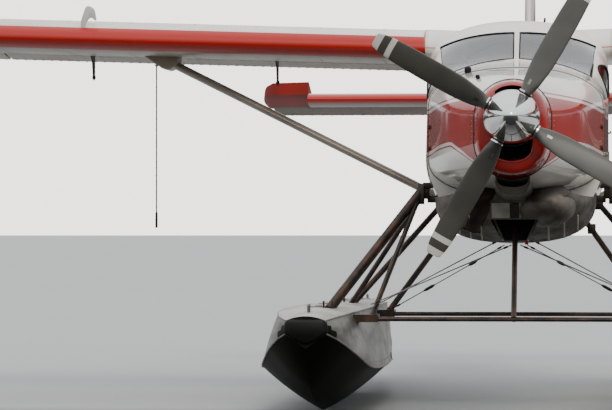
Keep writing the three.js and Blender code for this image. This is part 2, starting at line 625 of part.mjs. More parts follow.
function buildTail() {
  const chord = TAILPLANE.chord + ELEVATOR_CHORD;
  const foil = { chord, thickness: TAILPLANE.thickness };
  const hinge = TAILPLANE.chord / chord;
  const { points, centre, radius } = hingedPoints(foil, hinge);
  const back = hinge - (radius + SWING_GAP) / chord;
  const ring = (list, x) => list.map(([y, z]) => [x, TAILPLANE.leadingEdge + y, TAILPLANE.height + z]);
  const half = sectionPoints(foil, 0, back);
  const plane = solid(loft([-TAILPLANE.halfSpan, TAILPLANE.halfSpan].map((x) => ring(half, x))));
  const coneSolid = buildTailCone();
  const coneCutter = solid(loft(tailSections.map((s) => bodyRing(s, PLAY))));

  // Fin with a long dorsal fillet, then the rudder behind it
  const finFoot = 3200;
  const finOutline = [[8300, finFoot], [9500, 3720], [10500, FIN_TOP - 60], [10700, FIN_TOP]];
  const finBack = RUDDER_HINGE - 70;
  const finProfile = [
    [0, 0], [0.06, 22], [0.25, 50], [0.6, 62], [1, 58], [1, -58], [0.6, -62], [0.25, -50], [0.06, -22],
  ];
  const finRing = (z, front) => finProfile.map(([share, x]) => [
    x * (z > FIN_TOP - 200 ? 0.7 : 1), front + share * (finBack - front), z,
  ]);
  const fin = solid(loft(finOutline.map(([front, z]) => finRing(z, front))));

  const straight = ring(points, 0).map(([, y, z]) => [y, z]);
  const pivot = [TAILPLANE.leadingEdge + centre[0], TAILPLANE.height + centre[1]];
  const drooped = turnAbout(straight, pivot, -ELEVATOR_DROOP);
  const elevatorRings = [160, TAILPLANE.tipSpan - 100].map((x) => drooped.map(([y, z]) => [x, y, z]));
  const elevator = solid(loft(elevatorRings));
  const horn = turnAbout(sectionPoints(foil, 0.22, 0.75, 4), centre, -ELEVATOR_DROOP);
  const hornRing = (x, scale) => horn.map(([y, z]) => [
    x, pivot[0] + (y - centre[0]) * scale, pivot[1] + (z - centre[1]) * scale,
  ]);
  const hornSolid = solid(loft([
    hornRing(TAILPLANE.halfSpan + 14, 1), hornRing(TAILPLANE.tipSpan - 150, 0.95),
    hornRing(TAILPLANE.tipSpan - 30, 0.6), hornRing(TAILPLANE.tipSpan, 0.25),
  ]));
  const rudderRoom = solid(loft([2500, 4000].map((z) => [
    [0, RUDDER_HINGE - 250, z], [700, 12600, z], [-700, 12600, z],
  ])));
  pair('elevator', geometryOf(cut(join(elevator, hornSolid), rudderRoom)), 'bareMetal');
  piece('stabilizer', geometryOf(plane), 'red');
  const planeCutter = solid(loft([-TAILPLANE.halfSpan, TAILPLANE.halfSpan].map((x) => ring(
    half.map(([y, z]) => [y + (y > 0.5 * chord ? PLAY : -PLAY), z + Math.sign(z) * PLAY]), x,
  ))));
  piece('fin', geometryOf(cut(fin, coneCutter, planeCutter)), 'white');
  piece('tail_cone', geometryOf(cut(coneSolid, planeCutter)), 'white');

  const rudderProfile = [
    ...Array.from({ length: 5 }, (_, i) => {
      const angle = Math.PI / 2 + (i * Math.PI) / 4;
      return [RUDDER_HINGE + 52 * Math.cos(angle), 52 * Math.sin(angle)];
    }),
    [RUDDER_END, -5], [RUDDER_END, 5],
  ];
  const rudder = loft([[2760, 0.55], [3000, 0.85], [4500, 0.8], [FIN_TOP, 0.62]].map(([z, reach]) => {
    const end = RUDDER_HINGE + ((RUDDER_END - RUDDER_HINGE) * reach) / 0.85;
    return rudderProfile.map(([y, x]) => [x, y > RUDDER_END - 1 ? end : y, z]);
  }));
  piece('rudder', rudder, 'red');
}

// Float sections along its length: from the bow, then the heights of keel, chine and gunwale
// with the half widths of the last two, as [from bow, keel, chine, its half, gunwale, its half]
const floatSections = [
  [30, 640, 770, 160, 880, 165],
  [180, 470, 715, 250, 895, 215],
  [450, 290, 616, 352, 910, 270],
  [1200, 90, 435, 485, 925, 335],
  [2000, 10, 400, 505, 928, 365],
  [2700, 0, 380, 500, 925, 370],
  [STEP, 0, 345, 430, 910, 340],
];
const afterSections = [
  [STEP, 95, 410, 415, 910, 340],
  [6800, 300, 500, 310, 880, 270],
  [FLOAT_LENGTH, 520, 640, 105, 850, 100],
];

function floatRing([along, keel, chine, chineHalf, gunwale, gunwaleHalf], grow = 0) {
  const y = FLOAT_BOW + along;
  const rise = chine - keel;
  const middle = [(chineHalf + gunwaleHalf) / 2 + 12, (chine + gunwale) / 2];
  const half = [
    [chineHalf * 0.5, keel + rise * 0.42], [chineHalf + grow, chine], [middle[0] + grow, middle[1]],
    [gunwaleHalf + grow, gunwale + grow], [gunwaleHalf * 0.5, gunwale + 26 + grow],
  ];
  return [
    [0, y, keel], ...half.map(([x, z]) => [x, y, z]),
    [0, y, gunwale + 35 + grow], ...half.reverse().map(([x, z]) => [-x, y, z]),
  ];
}

function buildFloats() {
  const hull = join(
    solid(loft(floatSections.map((s) => floatRing(s)))),
    solid(loft(afterSections.map((s, i) => floatRing(i ? s : [s[0] - 1, ...s.slice(1)])))),
  );
  const cleats = CLEATS.flatMap(([along, foot]) => {
    const y = FLOAT_BOW + along;
    return [
      solid(box([-15, 15], [y - 30, y + 30], [foot - 30, foot + 60])),
      solid(box([-17, 17], [y - 85, y + 85], [foot + 50, foot + 72])),
    ];
  });
  const bumper = solid(alongY([
    [-180, 892], [-196, 763], [0, 660], [196, 763], [180, 892],
  ], FLOAT_BOW, FLOAT_BOW + 130));
  const stern = FLOAT_BOW + FLOAT_LENGTH;
  const hinge = stern + WATER_RUDDER_HINGE;
  const [low, high] = [560, 790]; // between the two lugs that hold the water rudder
  const lugs = [[low - 22, low], [high, high + 22]]
    .map((height) => solid(box([-28, 28], [stern - 40, hinge + 26], height)));
  pair('float', geometryOf(join(hull, bumper, ...cleats, ...lugs).translate([FLOAT_X, 0, 0])), 'bareMetal');

  const post = new THREE.CylinderGeometry(20, 20, high - low - 12, 10);
  post.rotateX(Math.PI / 2);
  post.translate(FLOAT_X, hinge, (low + high) / 2);
  const thickness = [FLOAT_X - 8, FLOAT_X + 8];
  const web = box(thickness, [hinge, hinge + 60], [low + 6, 700]);
  const blade = box(thickness, [hinge + 36, hinge + 360], [270, 700]);
  pair('water_rudder', geometryOf(join(solid(post), solid(web), solid(blade))), 'bareMetal');
}

function buildFloatStruts() {
  const [deck, rearFoot, side] = [930, 890, 1640];
  const front = [880, 2200, 2000]; // where the struts meet at the front fitting
  const hullCutter = solid(loft(floatSections.map((section) => floatRing(section, PLAY))))
    .translate([FLOAT_X, 0, 0]);
  const spreaderEnd = (y, z, grow = 0) => solid(box(
    [1190 - grow, 1450], [y - 70 - grow, y + 200 + grow], [z - 26 - grow, z + 40 + grow],
  ));
  const [frontSpreader, rearSpreader] = [[FRONT_STRUT - 130, 863], [REAR_STRUT - 70, 843]];
  const ends = (grow) => join(spreaderEnd(...frontSpreader, grow), spreaderEnd(...rearSpreader, grow));
  const fitting = (grow) => solid(box([780, 905 + grow], [2130, 2270 + grow], [1935, 2075]));
  const struts = (tools, ...bars) => geometryOf(
    cut(join(...bars.map(solid)), bodyCutter, hullCutter, ends(PLAY), ...tools),
  );
  pair('front_struts', geometryOf(cut(join(
    solid(bar([side + 4, FRONT_STRUT, deck], front, 90, 130)),
    solid(bar([1260, FRONT_STRUT, 870], front, 48, 80)), fitting(0),
  ), bodyCutter, hullCutter, ends(PLAY))), 'darkMetal');
  pair('rear_strut', struts([], bar([side, REAR_STRUT, rearFoot], [700, 4250, 1989], 58, 100)), 'darkMetal');
  pair('inner_strut', struts([], bar([1250, REAR_STRUT, 870], [640, 4150, 1740], 58, 90)), 'darkMetal');
  pair('diagonal_strut', struts(
    [solid(box([600, 1000], [1800, 2270 + PLAY], [1800, 2300]))],
    bar([side, REAR_STRUT - 150, rearFoot], [880, 2240, 1990], 50, 80),
  ), 'darkMetal');
  const hulls = [hullCutter, hullCutter.mirror([1, 0, 0])];
  const spreader = ([y, z]) => cut(join(
    solid(bar([-FLOAT_X, y, z], [FLOAT_X, y, z], 42, 100, 12)),
    spreaderEnd(y, z), spreaderEnd(y, z).mirror([1, 0, 0]),
  ), ...hulls);
  const post = solid(bar([0, frontSpreader[0], frontSpreader[1]], [0, 1650, 1800], 50, 80));
  const belly = solid(noseUnderside(PLAY)).subtract(bellyOpening());
  piece('spreader_rear', geometryOf(spreader(rearSpreader)), 'darkMetal');
  const postCut = cut(post, belly, bodyCutter);
  piece('spreader_front', geometryOf(join(spreader(frontSpreader), postCut)), 'darkMetal');
}

function buildInterior() {
  piece('instrument_panel', box([-600, 600], [2400, 2460], [2560, 2900]), 'trim');
  const seat = (x, y) => [
    solid(box([x - 230, x + 230], [y, y + 460], [2380, 2470])),
    solid(box([x - 220, x + 220], [y + 400, y + 480], [2400, 3060])),
  ];
  const row = (y) => join(
    ...[-370, 370].flatMap((x) => seat(x, y)),
    solid(box([-430, 430], [y + 120, y + 180], [CABIN_FLOOR + PLAY, 2400])),
  );
  [['pilot_seats', 2900], ['cabin_seats_front', 4000], ['cabin_seats_rear', 5000]]
    .forEach(([name, y]) => piece(name, geometryOf(row(y)), 'seat'));
}

buildCabin();
buildGlass();
buildNose();
buildPropeller();
buildWing();
buildRope();
buildTail();
buildFloats();
buildFloatStruts();
buildInterior();

export default aircraft;
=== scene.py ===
"""Dresses the frame of a single-engined, high-winged floatplane in its finished surfaces.

Metres, +Z up, nose towards -Y, +X to the aircraft's own left. Lengths along the body are
given as stations, counted aft from the propeller's plane, and place() turns them into Y.
"""

import json
import math
from itertools import groupby

import bmesh
import bpy
import numpy as np
from bpy.props import FloatProperty, FloatVectorProperty, IntProperty, PointerProperty
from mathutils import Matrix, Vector
from mathutils.bvhtree import BVHTree


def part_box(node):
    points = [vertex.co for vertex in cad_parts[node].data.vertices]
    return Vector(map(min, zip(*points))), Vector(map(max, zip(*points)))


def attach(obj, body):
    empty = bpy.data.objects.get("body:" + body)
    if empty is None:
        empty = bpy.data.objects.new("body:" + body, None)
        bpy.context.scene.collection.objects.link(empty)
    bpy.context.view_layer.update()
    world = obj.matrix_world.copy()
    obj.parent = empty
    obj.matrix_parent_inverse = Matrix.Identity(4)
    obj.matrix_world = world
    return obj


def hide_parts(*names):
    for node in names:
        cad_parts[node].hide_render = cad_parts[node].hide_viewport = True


bl_info = {
    "name": "Floatplane",
    "version": (1, 0, 0),
    "blender": (4, 5, 0),
    "location": "3D View > Sidebar > Floatplane",
    "description": "Finishes a floatplane: skins, paint, glass, propeller, floats and rigging",
    "category": "Object",
}

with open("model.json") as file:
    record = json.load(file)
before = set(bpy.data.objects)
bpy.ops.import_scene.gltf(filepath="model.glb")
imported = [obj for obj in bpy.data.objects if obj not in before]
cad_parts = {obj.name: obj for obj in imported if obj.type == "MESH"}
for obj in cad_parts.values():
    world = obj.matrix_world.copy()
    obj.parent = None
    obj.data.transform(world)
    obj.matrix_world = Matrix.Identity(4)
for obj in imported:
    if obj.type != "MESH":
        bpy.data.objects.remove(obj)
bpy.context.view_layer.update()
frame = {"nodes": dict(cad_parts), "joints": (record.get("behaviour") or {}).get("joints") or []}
JOINTS = {joint["name"]: joint for joint in frame["joints"]}
HUB = Vector(JOINTS["propeller_spin"]["pos_m"])
SIDES = {"left": 1, "right": -1}
BODY = "airframe"


def place(station):
    """The Y of a station, counted aft from the propeller's plane."""
    return HUB.y + station


# Fuselage, as in the frame: sections at stations, with heights
CABIN_END = 6.75
HALF_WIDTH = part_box("cabin_shell")[1].x
WALL = 0.03
CABIN_FLOOR = 2.05
WAIST = 2.3
SECTION_COLUMNS = ("at", "half", "top", "shoulder", "waist", "bottom", "bow", "top_power", "bottom_power")
COWL_SECTIONS = [
    (0.46, 0.335, 2.950, 2.62, 2.40, 2.085, 0, 2.0, 2.0),
    (1.00, 0.610, 3.035, 2.68, 2.33, 2.00, 0, 2.1, 2.2),
    (1.75, 0.790, 3.120, 2.76, WAIST, 1.96, 0, 2.2, 2.4),
]
CABIN_SECTIONS = [
    (1.75, 0.80, 3.13, 2.76, WAIST, 1.53, 0, 2.2, 1.9),
    (2.15, 0.83, 3.21, 2.84, WAIST, 1.51, 0.42, 2.2, 1.9),
    (2.56, HALF_WIDTH, 3.52, 3.08, WAIST, 1.51, 0.34, 2.2, 1.9),
    (3.15, HALF_WIDTH, 3.64, 3.20, WAIST, 1.51, 0, 2.2, 1.9),
    (5.13, HALF_WIDTH, 3.59, 3.20, WAIST, 1.54, 0, 2.2, 1.9),
    (CABIN_END, HALF_WIDTH, 3.53, 3.20, WAIST, 1.70, 0, 2.2, 1.9),
    (8.60, 0.56, 3.44, 3.13, 2.56, 2.08, 0, 2.2, 1.9),
    (10.20, 0.29, 3.36, 3.15, 2.78, 2.45, 0, 2.2, 1.9),
    (11.50, 0.075, 3.30, 3.20, 2.90, 2.72, 0, 2.2, 1.9),
]
BOWL_SECTIONS = [
    (0.180, 0.250, 2.850, 2.60, 2.42, 2.176, 0, 2, 2),
    (0.186, 0.274, 2.878, 2.60, 2.42, 2.150, 0, 2, 2),
    (0.205, 0.294, 2.902, 2.60, 2.42, 2.131, 0, 2, 2),
    (0.240, 0.310, 2.922, 2.61, 2.41, 2.117, 0, 2, 2),
    (0.460, 0.335, 2.950, 2.62, 2.40, 2.085, 0, 2, 2),
]

# Openings in the cabin: [from, to] along the body, [from, to] in height
SIDE_WINDOWS = [(3.93, 4.33), (4.48, 4.88)]
REAR_WINDOWS = {"left": [], "right": [(5.03, 5.28)]}
WINDOW_HEIGHT = (2.78, 3.13)
QUARTER_WINDOW = ((2.645, 2.88), (2.89, 3.19))
WINDOW_RADIUS = 0.09
DOOR_RADIUS = 0.06
SWING_GAP = 0.008
DOORS = {
    "crew_door_left": ((2.96, 3.70), (2.15, 3.18), (3.09, 3.60), (2.70, 3.11)),
    "crew_door_right": ((2.96, 3.70), (2.15, 3.18), (3.09, 3.60), (2.70, 3.11)),
    "cabin_door_left": ((5.38, 6.48), (2.12, 3.18), (5.70, 6.16), (2.78, 3.11)),
    "cabin_door_right": ((5.38, 6.16), (2.12, 3.18), (5.56, 5.96), (2.78, 3.11)),
}
WINDSCREEN_OUTLINE = [  # one pane, from its lower inner corner outwards and round: x, height
    (0.028, 3.225), (0.38, 3.175), (0.69, 3.065), (0.73, 3.38), (0.414, 3.46), (0.028, 3.488),
]

# Wing, tail and floats, as in the frame
WING = {"front": 3.15, "chord": 1.98, "thickness": 0.165, "camber": 0.03, "height": 3.39}
DIHEDRAL = math.tan(math.radians(1.9))
INCIDENCE = math.radians(1.5)
WING_TIP = [(0.5, 1.0), (8.45, 1.0), (8.65, 0.93), (8.78, 0.78), (8.85, 0.5)]  # span, share of the size
FLAP_HINGE = 0.78
FLAP_DROOP = math.radians(9)
FLAP_SPAN = (1.05, 5.25)
AILERON_SPAN = (5.27, 8.30)
HINGE_ARM_SPANS = (2.444, 4.314, 6.3, 7.9)
TAIL = {"front": 10.25, "chord": 1.46, "thickness": 0.11, "camber": 0.0, "height": 3.225}
TAIL_HINGE = 0.9 / 1.46
TAIL_HALF_SPAN = 2.65
ELEVATOR_DROOP = math.radians(14.5)
RUDDER_HINGE = 11.56
FIN_TOP = 4.75
FLOAT_X = 1.74
FLOAT_BOW = -0.2
FLOAT_COLUMNS = ("along", "keel", "chine", "chine_half", "gunwale", "gunwale_half")
FLOAT_STEP = 5.1
FORE_SECTIONS = [
    (0.03, 0.640, 0.770, 0.160, 0.880, 0.165),
    (0.18, 0.470, 0.715, 0.250, 0.895, 0.215),
    (0.45, 0.290, 0.616, 0.352, 0.910, 0.270),
    (1.20, 0.090, 0.435, 0.485, 0.925, 0.335),
    (2.00, 0.010, 0.400, 0.505, 0.928, 0.365),
    (2.70, 0.000, 0.380, 0.500, 0.925, 0.370),
    (FLOAT_STEP, 0.000, 0.345, 0.430, 0.910, 0.340),
]
AFT_SECTIONS = [
    (FLOAT_STEP, 0.095, 0.410, 0.415, 0.910, 0.340),
    (6.80, 0.300, 0.500, 0.310, 0.880, 0.270),
    (8.60, 0.520, 0.640, 0.105, 0.850, 0.100),
]

# The rope under the right wing, as in the frame
ROPE_X = -3.568
ROPE_STATION = 3.8
ROPE_TOP = 3.262 - 0.0003
ROPE_BOTTOM = 1.83 - 0.02  # it runs 20 mm into its grip
ROPE_DIAMETER = 0.015

# Camera, from the photograph's perspective
CAMERA_PLACE = Vector((0.525, place(-25.5), 1.62))
CAMERA_TURN = math.radians(5.1)
CAMERA_PITCH = math.radians(0.535)
CAMERA_LENS = 176.5
CAMERA_SENSOR = 36.0
CAMERA_REACH = 5000.0

# Stage
SKY_STRENGTH = 1.65
SEEN_SKY = ("#E8E5E1", 3.6)  # colour and strength of what the camera sees behind the aircraft
SUN_STRENGTH = 1.5
SUN_FROM = (0.25, -0.75, 0.75)
FLOOR_SIZE = 4000.0
FLOOR_COLOUR = "#A9ABAC"

# Paint: the red flank's edges as (station, height), and bands from and to a distance from the hub
STRIPE_TOP = [(0.2, 2.80), (0.46, 2.80), (1.75, 2.70), (3.2, 2.66), (6.75, 2.84), (11.5, 3.12)]
STRIPE_BOTTOM = [
    (0.2, 2.15), (0.46, 2.20), (0.66, 2.34), (0.85, 2.42), (1.2, 2.40), (1.75, 2.35), (3.2, 2.40),
    (6.75, 2.68), (11.5, 3.02),
]
PINSTRIPE_GAP = 0.035
PINSTRIPE_WIDTH = 0.014
BLADE_BANDS = [(1.165, 1.215), (1.283, 1.40)]
FIN_FRONT_HALF = 0.024  # the fin is pale where its skin lies nearer the middle than this

ALONG = Vector((0, 1, 0))
UP = Vector((0, 0, 1))


def linear(hex_colour, alpha=1.0):
    """An sRGB hex colour as linear red, green, blue and alpha."""
    parts = [int(hex_colour[i : i + 2], 16) / 255 for i in (1, 3, 5)]
    return (*[c / 12.92 if c <= 0.04045 else ((c + 0.055) / 1.055) ** 2.4 for c in parts], alpha)


def tint(colour):
    """A colour as a node takes it: a hex string as linear values, and the rest as it is."""
    return linear(colour) if isinstance(colour, str) else colour


def add(tree, kind, inputs=None, **settings):
    """Adds one node to a tree, sets its own values, and sets or links its inputs."""
    made = tree.nodes.new(kind)
    for key, value in settings.items():
        setattr(made, key, value)
    for key, value in (inputs or {}).items():
        if isinstance(value, bpy.types.Node):
            value = value.outputs[0]
        if isinstance(value, bpy.types.NodeSocket):
            tree.links.new(value, made.inputs[key])
        else:
            made.inputs[key].default_value = value
    return made


# Shapes


FINISHES = {}  # the materials by their short names, filled by MakeFinishes


def monotone(stations, values, at):
    """A smooth curve through values at stations, with no overshoot, read at one place."""
    if at <= stations[0]:
        return values[0]
    if at >= stations[-1]:
        return values[-1]
    steps = np.diff(stations)
    slopes = np.diff(values) / steps
    tangents = [slopes[0]]
    for before, after in zip(slopes[:-1], slopes[1:]):
        tangents.append(0 if before * after <= 0 else 2 * before * after / (before + after))
    tangents.append(slopes[-1])
    k = min(int(np.searchsorted(stations, at, side="right")) - 1, len(steps) - 1)
    share = (at - stations[k]) / steps[k]
    return (
        (2 * share**3 - 3 * share**2 + 1) * values[k]
        + (share**3 - 2 * share**2 + share) * steps[k] * tangents[k]
        + (3 * share**2 - 2 * share**3) * values[k + 1]
        + (share**3 - share**2) * steps[k] * tangents[k + 1]
    )


def section_at(sections, columns, at):
    """The section at one place along a table of sections, as named values."""
    stations = [row[0] for row in sections]
    values = [monotone(stations, [row[i] for row in sections], at) for i in range(1, len(columns))]
    return dict(zip(columns, [at, *values]))


def rounded(width, height, share, power):
    """A point on a quarter of a rounded corner: share 0 at its side and 1 at its top."""
    angle = share * math.pi / 2
    return width * abs(math.cos(angle)) ** (2 / power), height * abs(math.sin(angle)) ** (2 / power)


def body_ring(section, grow=0.0, steps=16):
    """One loop round the fuselage: an arched top, flat sides and a rounded bottom."""
    width = section["half"] + grow
    y = place(section["at"])
    ring = []
    for i in range(-steps, steps + 1):
        height = section["top"] + grow - section["shoulder"]
        x, z = rounded(width, height, 1 - abs(i) / steps, section["top_power"])
        sign = (i > 0) - (i < 0)
        ring.append((sign * x, y + section["bow"] * (x / width) ** 2, section["shoulder"] + z))
    for i in range(steps, -steps - 1, -1):
        height = section["waist"] - section["bottom"] + grow
        x, z = rounded(width, height, 1 - abs(i) / steps, section["bottom_power"])
        sign = (i > 0) - (i < 0)
        ring.append((sign * x, y, section["waist"] - z))
    return ring


def body_rings(sections, start, end, spacing, grow=0.0):
    """Rings along the fuselage from one station to another."""
    count = max(2, round((end - start) / spacing))
    stations = [start + (end - start) * i / count for i in range(count + 1)]
    return [body_ring(section_at(sections, SECTION_COLUMNS, s), grow) for s in stations]


def loft(rings, capped=True):
    """Points and faces of a skin over rings that all have the same count."""
    count = len(rings[0])
    points = [p for ring in rings for p in ring]
    faces = [
        (r * count + i, r * count + (i + 1) % count, (r + 1) * count + (i + 1) % count, (r + 1) * count + i)
        for r in range(len(rings) - 1)
        for i in range(count)
    ]
    if capped:
        faces.append(tuple(range(count))[::-1])
        faces.append(tuple((len(rings) - 1) * count + i for i in range(count)))
    return points, faces


def make(name, points, faces, material, merge=1e-5):
    """A mesh object with its doubles merged and its faces pointing outwards."""
    mesh = bpy.data.meshes.new(name)
    mesh.from_pydata([tuple(p) for p in points], [], faces)
    made = bpy.data.objects.new(name, mesh)
    bpy.context.scene.collection.objects.link(made)
    work = bmesh.new()
    work.from_mesh(mesh)
    bmesh.ops.remove_doubles(work, verts=work.verts, dist=merge)
    bmesh.ops.recalc_face_normals(work, faces=work.faces)
    work.to_mesh(mesh)
    work.free()
    mesh.materials.append(material)
    return made


def smooth(piece, angle):
    """Shades a piece smooth, apart from its edges that are sharper than an angle."""
    for polygon in piece.data.polygons:
        polygon.use_smooth = True
    piece.data.set_sharp_from_angle(angle=math.radians(angle))


def applied(piece):
    """Bakes a piece's modifiers into its mesh."""
    graph = bpy.context.evaluated_depsgraph_get()
    finished = bpy.data.meshes.new_from_object(piece.evaluated_get(graph), depsgraph=graph)
    old = piece.data
    piece.modifiers.clear()
    piece.data = finished
    bpy.data.meshes.remove(old)
    return piece


def carve(piece, tools, operation="DIFFERENCE"):
    """Cuts a piece with others, which are used up; a cut face keeps the tool's material."""
    for tool in tools:
        cutting = piece.modifiers.new("cut", "BOOLEAN")
        cutting.operation = operation
        cutting.solver = "EXACT"
        cutting.material_mode = "TRANSFER"
        cutting.object = tool
        applied(piece)
        bpy.data.objects.remove(tool)
    return piece


def bevelled(piece, width, segments=2, angle=30):
    """Rounds a piece's edges."""
    rounding = piece.modifiers.new("round", "BEVEL")
    rounding.width = width
    rounding.segments = segments
    rounding.limit_method = "ANGLE"
    rounding.angle_limit = math.radians(angle)
    return applied(piece)


def copy_of(node, finish_name):
    """A copy of a node of the frame, whose shape is right as it is."""
    source = frame["nodes"][node].data
    points = [tuple(v.co) for v in source.vertices]
    faces = [tuple(p.vertices) for p in source.polygons]
    piece = make(f"{node}_skin", points, faces, FINISHES[finish_name], merge=1e-4)
    work = bmesh.new()
    work.from_mesh(piece.data)
    bmesh.ops.dissolve_limit(work, angle_limit=math.radians(1), verts=work.verts, edges=work.edges)
    work.to_mesh(piece.data)
    work.free()
    return piece


def solid(name, parts, finish_name):
    """An object in one finish, from (points, faces) or from a list of such pairs."""
    points, faces = [], []
    for more_points, more_faces in parts if isinstance(parts, list) else [parts]:
        start = len(points)
        points += list(more_points)
        faces += [tuple(start + i for i in face) for face in more_faces]
    return make(name, points, faces, FINISHES[finish_name])


def finish_piece(piece, slot, *nodes, body=BODY, angle=40, bevel=()):
    """Rounds and shades a piece, attaches it to its body, and hides the frame's nodes that it stands for;
    its slot is not used.
    """
    if bevel:
        bevelled(piece, *bevel)
    if angle:
        smooth(piece, angle)
    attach(piece, body)
    if nodes:
        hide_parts(*nodes)
    return piece


def dress(name, parts, finish_name, slot, *nodes, tools=(), **settings):
    """Makes a piece, cuts it with its tools and finishes it."""
    piece = carve(solid(name, parts, finish_name), tools)
    return finish_piece(piece, slot, *nodes, **settings)


def block(low, high):
    """Points and faces of a box."""
    (x0, y0, z0), (x1, y1, z1) = low, high
    points = [(x, y, z) for x in (x0, x1) for y in (y0, y1) for z in (z0, z1)]
    return points, [(0, 1, 3, 2), (4, 6, 7, 5), (0, 4, 5, 1), (2, 3, 7, 6), (0, 2, 6, 4), (1, 5, 7, 3)]


def tube(path, radius, sides=12, looped=False):
    """Points and faces of a round tube along a path; radius may be one value or one a point."""
    path = [Vector(p) for p in path]
    radii = radius if isinstance(radius, (list, tuple)) else [radius] * len(path)
    rings, side = [], None
    for i, point in enumerate(path):
        before = path[i - 1] if i or looped else path[i]
        after = path[(i + 1) % len(path)] if i + 1 < len(path) or looped else path[i]
        along = (after - before).normalized()
        if side is None:
            side = along.orthogonal().normalized()
        side = (side - along * side.dot(along)).normalized()
        other = along.cross(side)
        rings.append([
            point + (side * math.cos(a) + other * math.sin(a)) * radii[i]
            for a in (2 * math.pi * k / sides for k in range(sides))
        ])
    if looped:
        return loft([*rings, rings[0]], capped=False)
    return loft(rings)


def streamlined(start, end, thickness, chord, sides=20):
    """Points and faces of a bar of oval section whose long side lies along Y."""
    start, end = Vector(start), Vector(end)
    along = (end - start).normalized()
    across = (ALONG - along * along.y).normalized()
    other = along.cross(across)
    rings = []
    for point in (start, end):
        angles = [2 * math.pi * (k + 0.5) / sides for k in range(sides)]
        rings.append([
            point + across * math.cos(a) * chord / 2 + other * math.sin(a) * thickness / 2 for a in angles
        ])
    return loft(rings)


def turned(profile, axis_point, axis, sides=48):
    """Points and faces of a closed form turned about an axis; profile is [(radius, along)]."""
    axis = Vector(axis).normalized()
    side = axis.orthogonal().normalized()
    other = axis.cross(side)
    rings = []
    for radius, along in profile:
        centre = Vector(axis_point) + axis * along
        rings.append([
            centre + (side * math.cos(a) + other * math.sin(a)) * max(radius, 1e-6)
            for a in (2 * math.pi * k / sides for k in range(sides))
        ])
    return loft(rings)


def rounded_outline(low, high, radius, steps=8):
    """A rounded rectangle as a loop of pairs, between two corners."""
    corners = [
        ((high[0] - radius, low[1] + radius), -90), ((high[0] - radius, high[1] - radius), 0),
        ((low[0] + radius, high[1] - radius), 90), ((low[0] + radius, low[1] + radius), 180),
    ]
    outline = []
    for (u, v), start in corners:
        for k in range(steps + 1):
            angle = math.radians(start + 90 * k / steps)
            outline.append((u + radius * math.cos(angle), v + radius * math.sin(angle)))
    return outline


def at_place(point):
    """A point given as x, station and height, in the frame."""
    return Vector((point[0], place(point[1]), point[2]))


def slab(low, high):
    """A box between two corners given as x, station and height."""
    return block(at_place(low), at_place(high))


def along_extrusion(outline, stations):
    """Points and faces of an outline of x and height pushed along the body."""
    return loft([[(x, place(s), z) for x, z in outline] for s in stations])


def side_extrusion(outline, x0, x1):
    """Points and faces of an outline of (Y, height) pushed along X."""
    return loft([[(x, y, z) for y, z in outline] for x in (x0, x1)])


def side_outline(along, height, radius):
    """A rounded opening in a side as pairs of Y and height."""
    return rounded_outline((place(along[0]), height[0]), (place(along[1]), height[1]), radius)


def side_slab(along, height, radius, side, near=0.6, far=1.0):
    """A rounded panel in one side, between two distances from the middle."""
    return side_extrusion(side_outline(along, height, radius), side * near, side * far)


def arc(centre, across, up, start, turn, steps):
    """Pairs along a part of an oval; its start and its turn are in degrees."""
    angles = (math.radians(start + turn * k / steps) for k in range(steps + 1))
    return [(centre[0] + across * math.cos(a), centre[1] + up * math.sin(a)) for a in angles]


def columns_of(rows):
    """A table's columns, as lists."""
    return [list(column) for column in zip(*rows)]


def cast(tree, start, way):
    """Where a line first meets a skin, and the skin's normal, turned to face the line's start."""
    spot, normal, _, _ = tree.ray_cast(Vector(start), Vector(way))
    if spot and normal.dot(Vector(way)) >= 0:
        normal = -normal
    return spot, normal


def skin_tree(rings):
    """A skin over rings, for putting things on it."""
    points, faces = loft(rings)
    return BVHTree.FromPolygons([Vector(p) for p in points], faces)


# Finishes


def finish(name, **values):
    """A new material with its tree and its Principled shader, whose plain inputs are given with
    underscores for spaces."""
    material = bpy.data.materials.new(name)
    material.use_nodes = True
    tree = material.node_tree
    tree.nodes.clear()
    inputs = {key.replace("_", " "): value for key, value in values.items()}
    shader = add(tree, "ShaderNodeBsdfPrincipled", inputs)
    add(tree, "ShaderNodeOutputMaterial", {"Surface": shader})
    return material, tree, shader


def calc(tree, operation, *values):
    """Arithmetic on numbers, nodes or sockets."""
    return add(tree, "ShaderNodeMath", dict(enumerate(values)), operation=operation)


def remap(tree, value, low, high, new_low=0.0, new_high=1.0):
    """A value moved from one range to another, and kept within it."""
    return add(tree, "ShaderNodeMapRange", dict(enumerate((value, low, high, new_low, new_high))))


def blend(tree, share, first, second):
    """A colour between two others; a share of 1 gives the second."""
    inputs = {0: share, 6: tint(first), 7: tint(second)}
    return add(tree, "ShaderNodeMix", inputs, data_type="RGBA").outputs[2]


def spot_in(tree):
    """The place on the surface, in the object's own metres."""
    return add(tree, "ShaderNodeTexCoord").outputs["Object"]


def parts_of(tree, vector):
    """The x, y and z of a vector."""
    return add(tree, "ShaderNodeSeparateXYZ", {0: vector}).outputs


def noise(tree, vector, scale, detail):
    """Soft clouds, in so many to the metre."""
    return add(tree, "ShaderNodeTexNoise", {"Vector": vector, "Scale": scale, "Detail": detail})


def grime(tree, colour, dirt, amount=0.5, scale=2.0, stretch=(1, 1, 1)):
    """A colour with patches of dirt over it; stretch draws the patches out along an axis."""
    spread = add(tree, "ShaderNodeMapping", {"Vector": spot_in(tree), "Scale": stretch})
    share = remap(tree, noise(tree, spread, scale, 6.0), 0.42, 0.72, 0.0, amount)
    return blend(tree, share, colour, dirt)


def press(tree, shader, height, strength, depth):
    """A shallow relief in the shaded surface."""
    bump = add(tree, "ShaderNodeBump", {"Height": height, "Strength": strength, "Distance": depth})
    tree.links.new(bump.outputs[0], shader.inputs["Normal"])


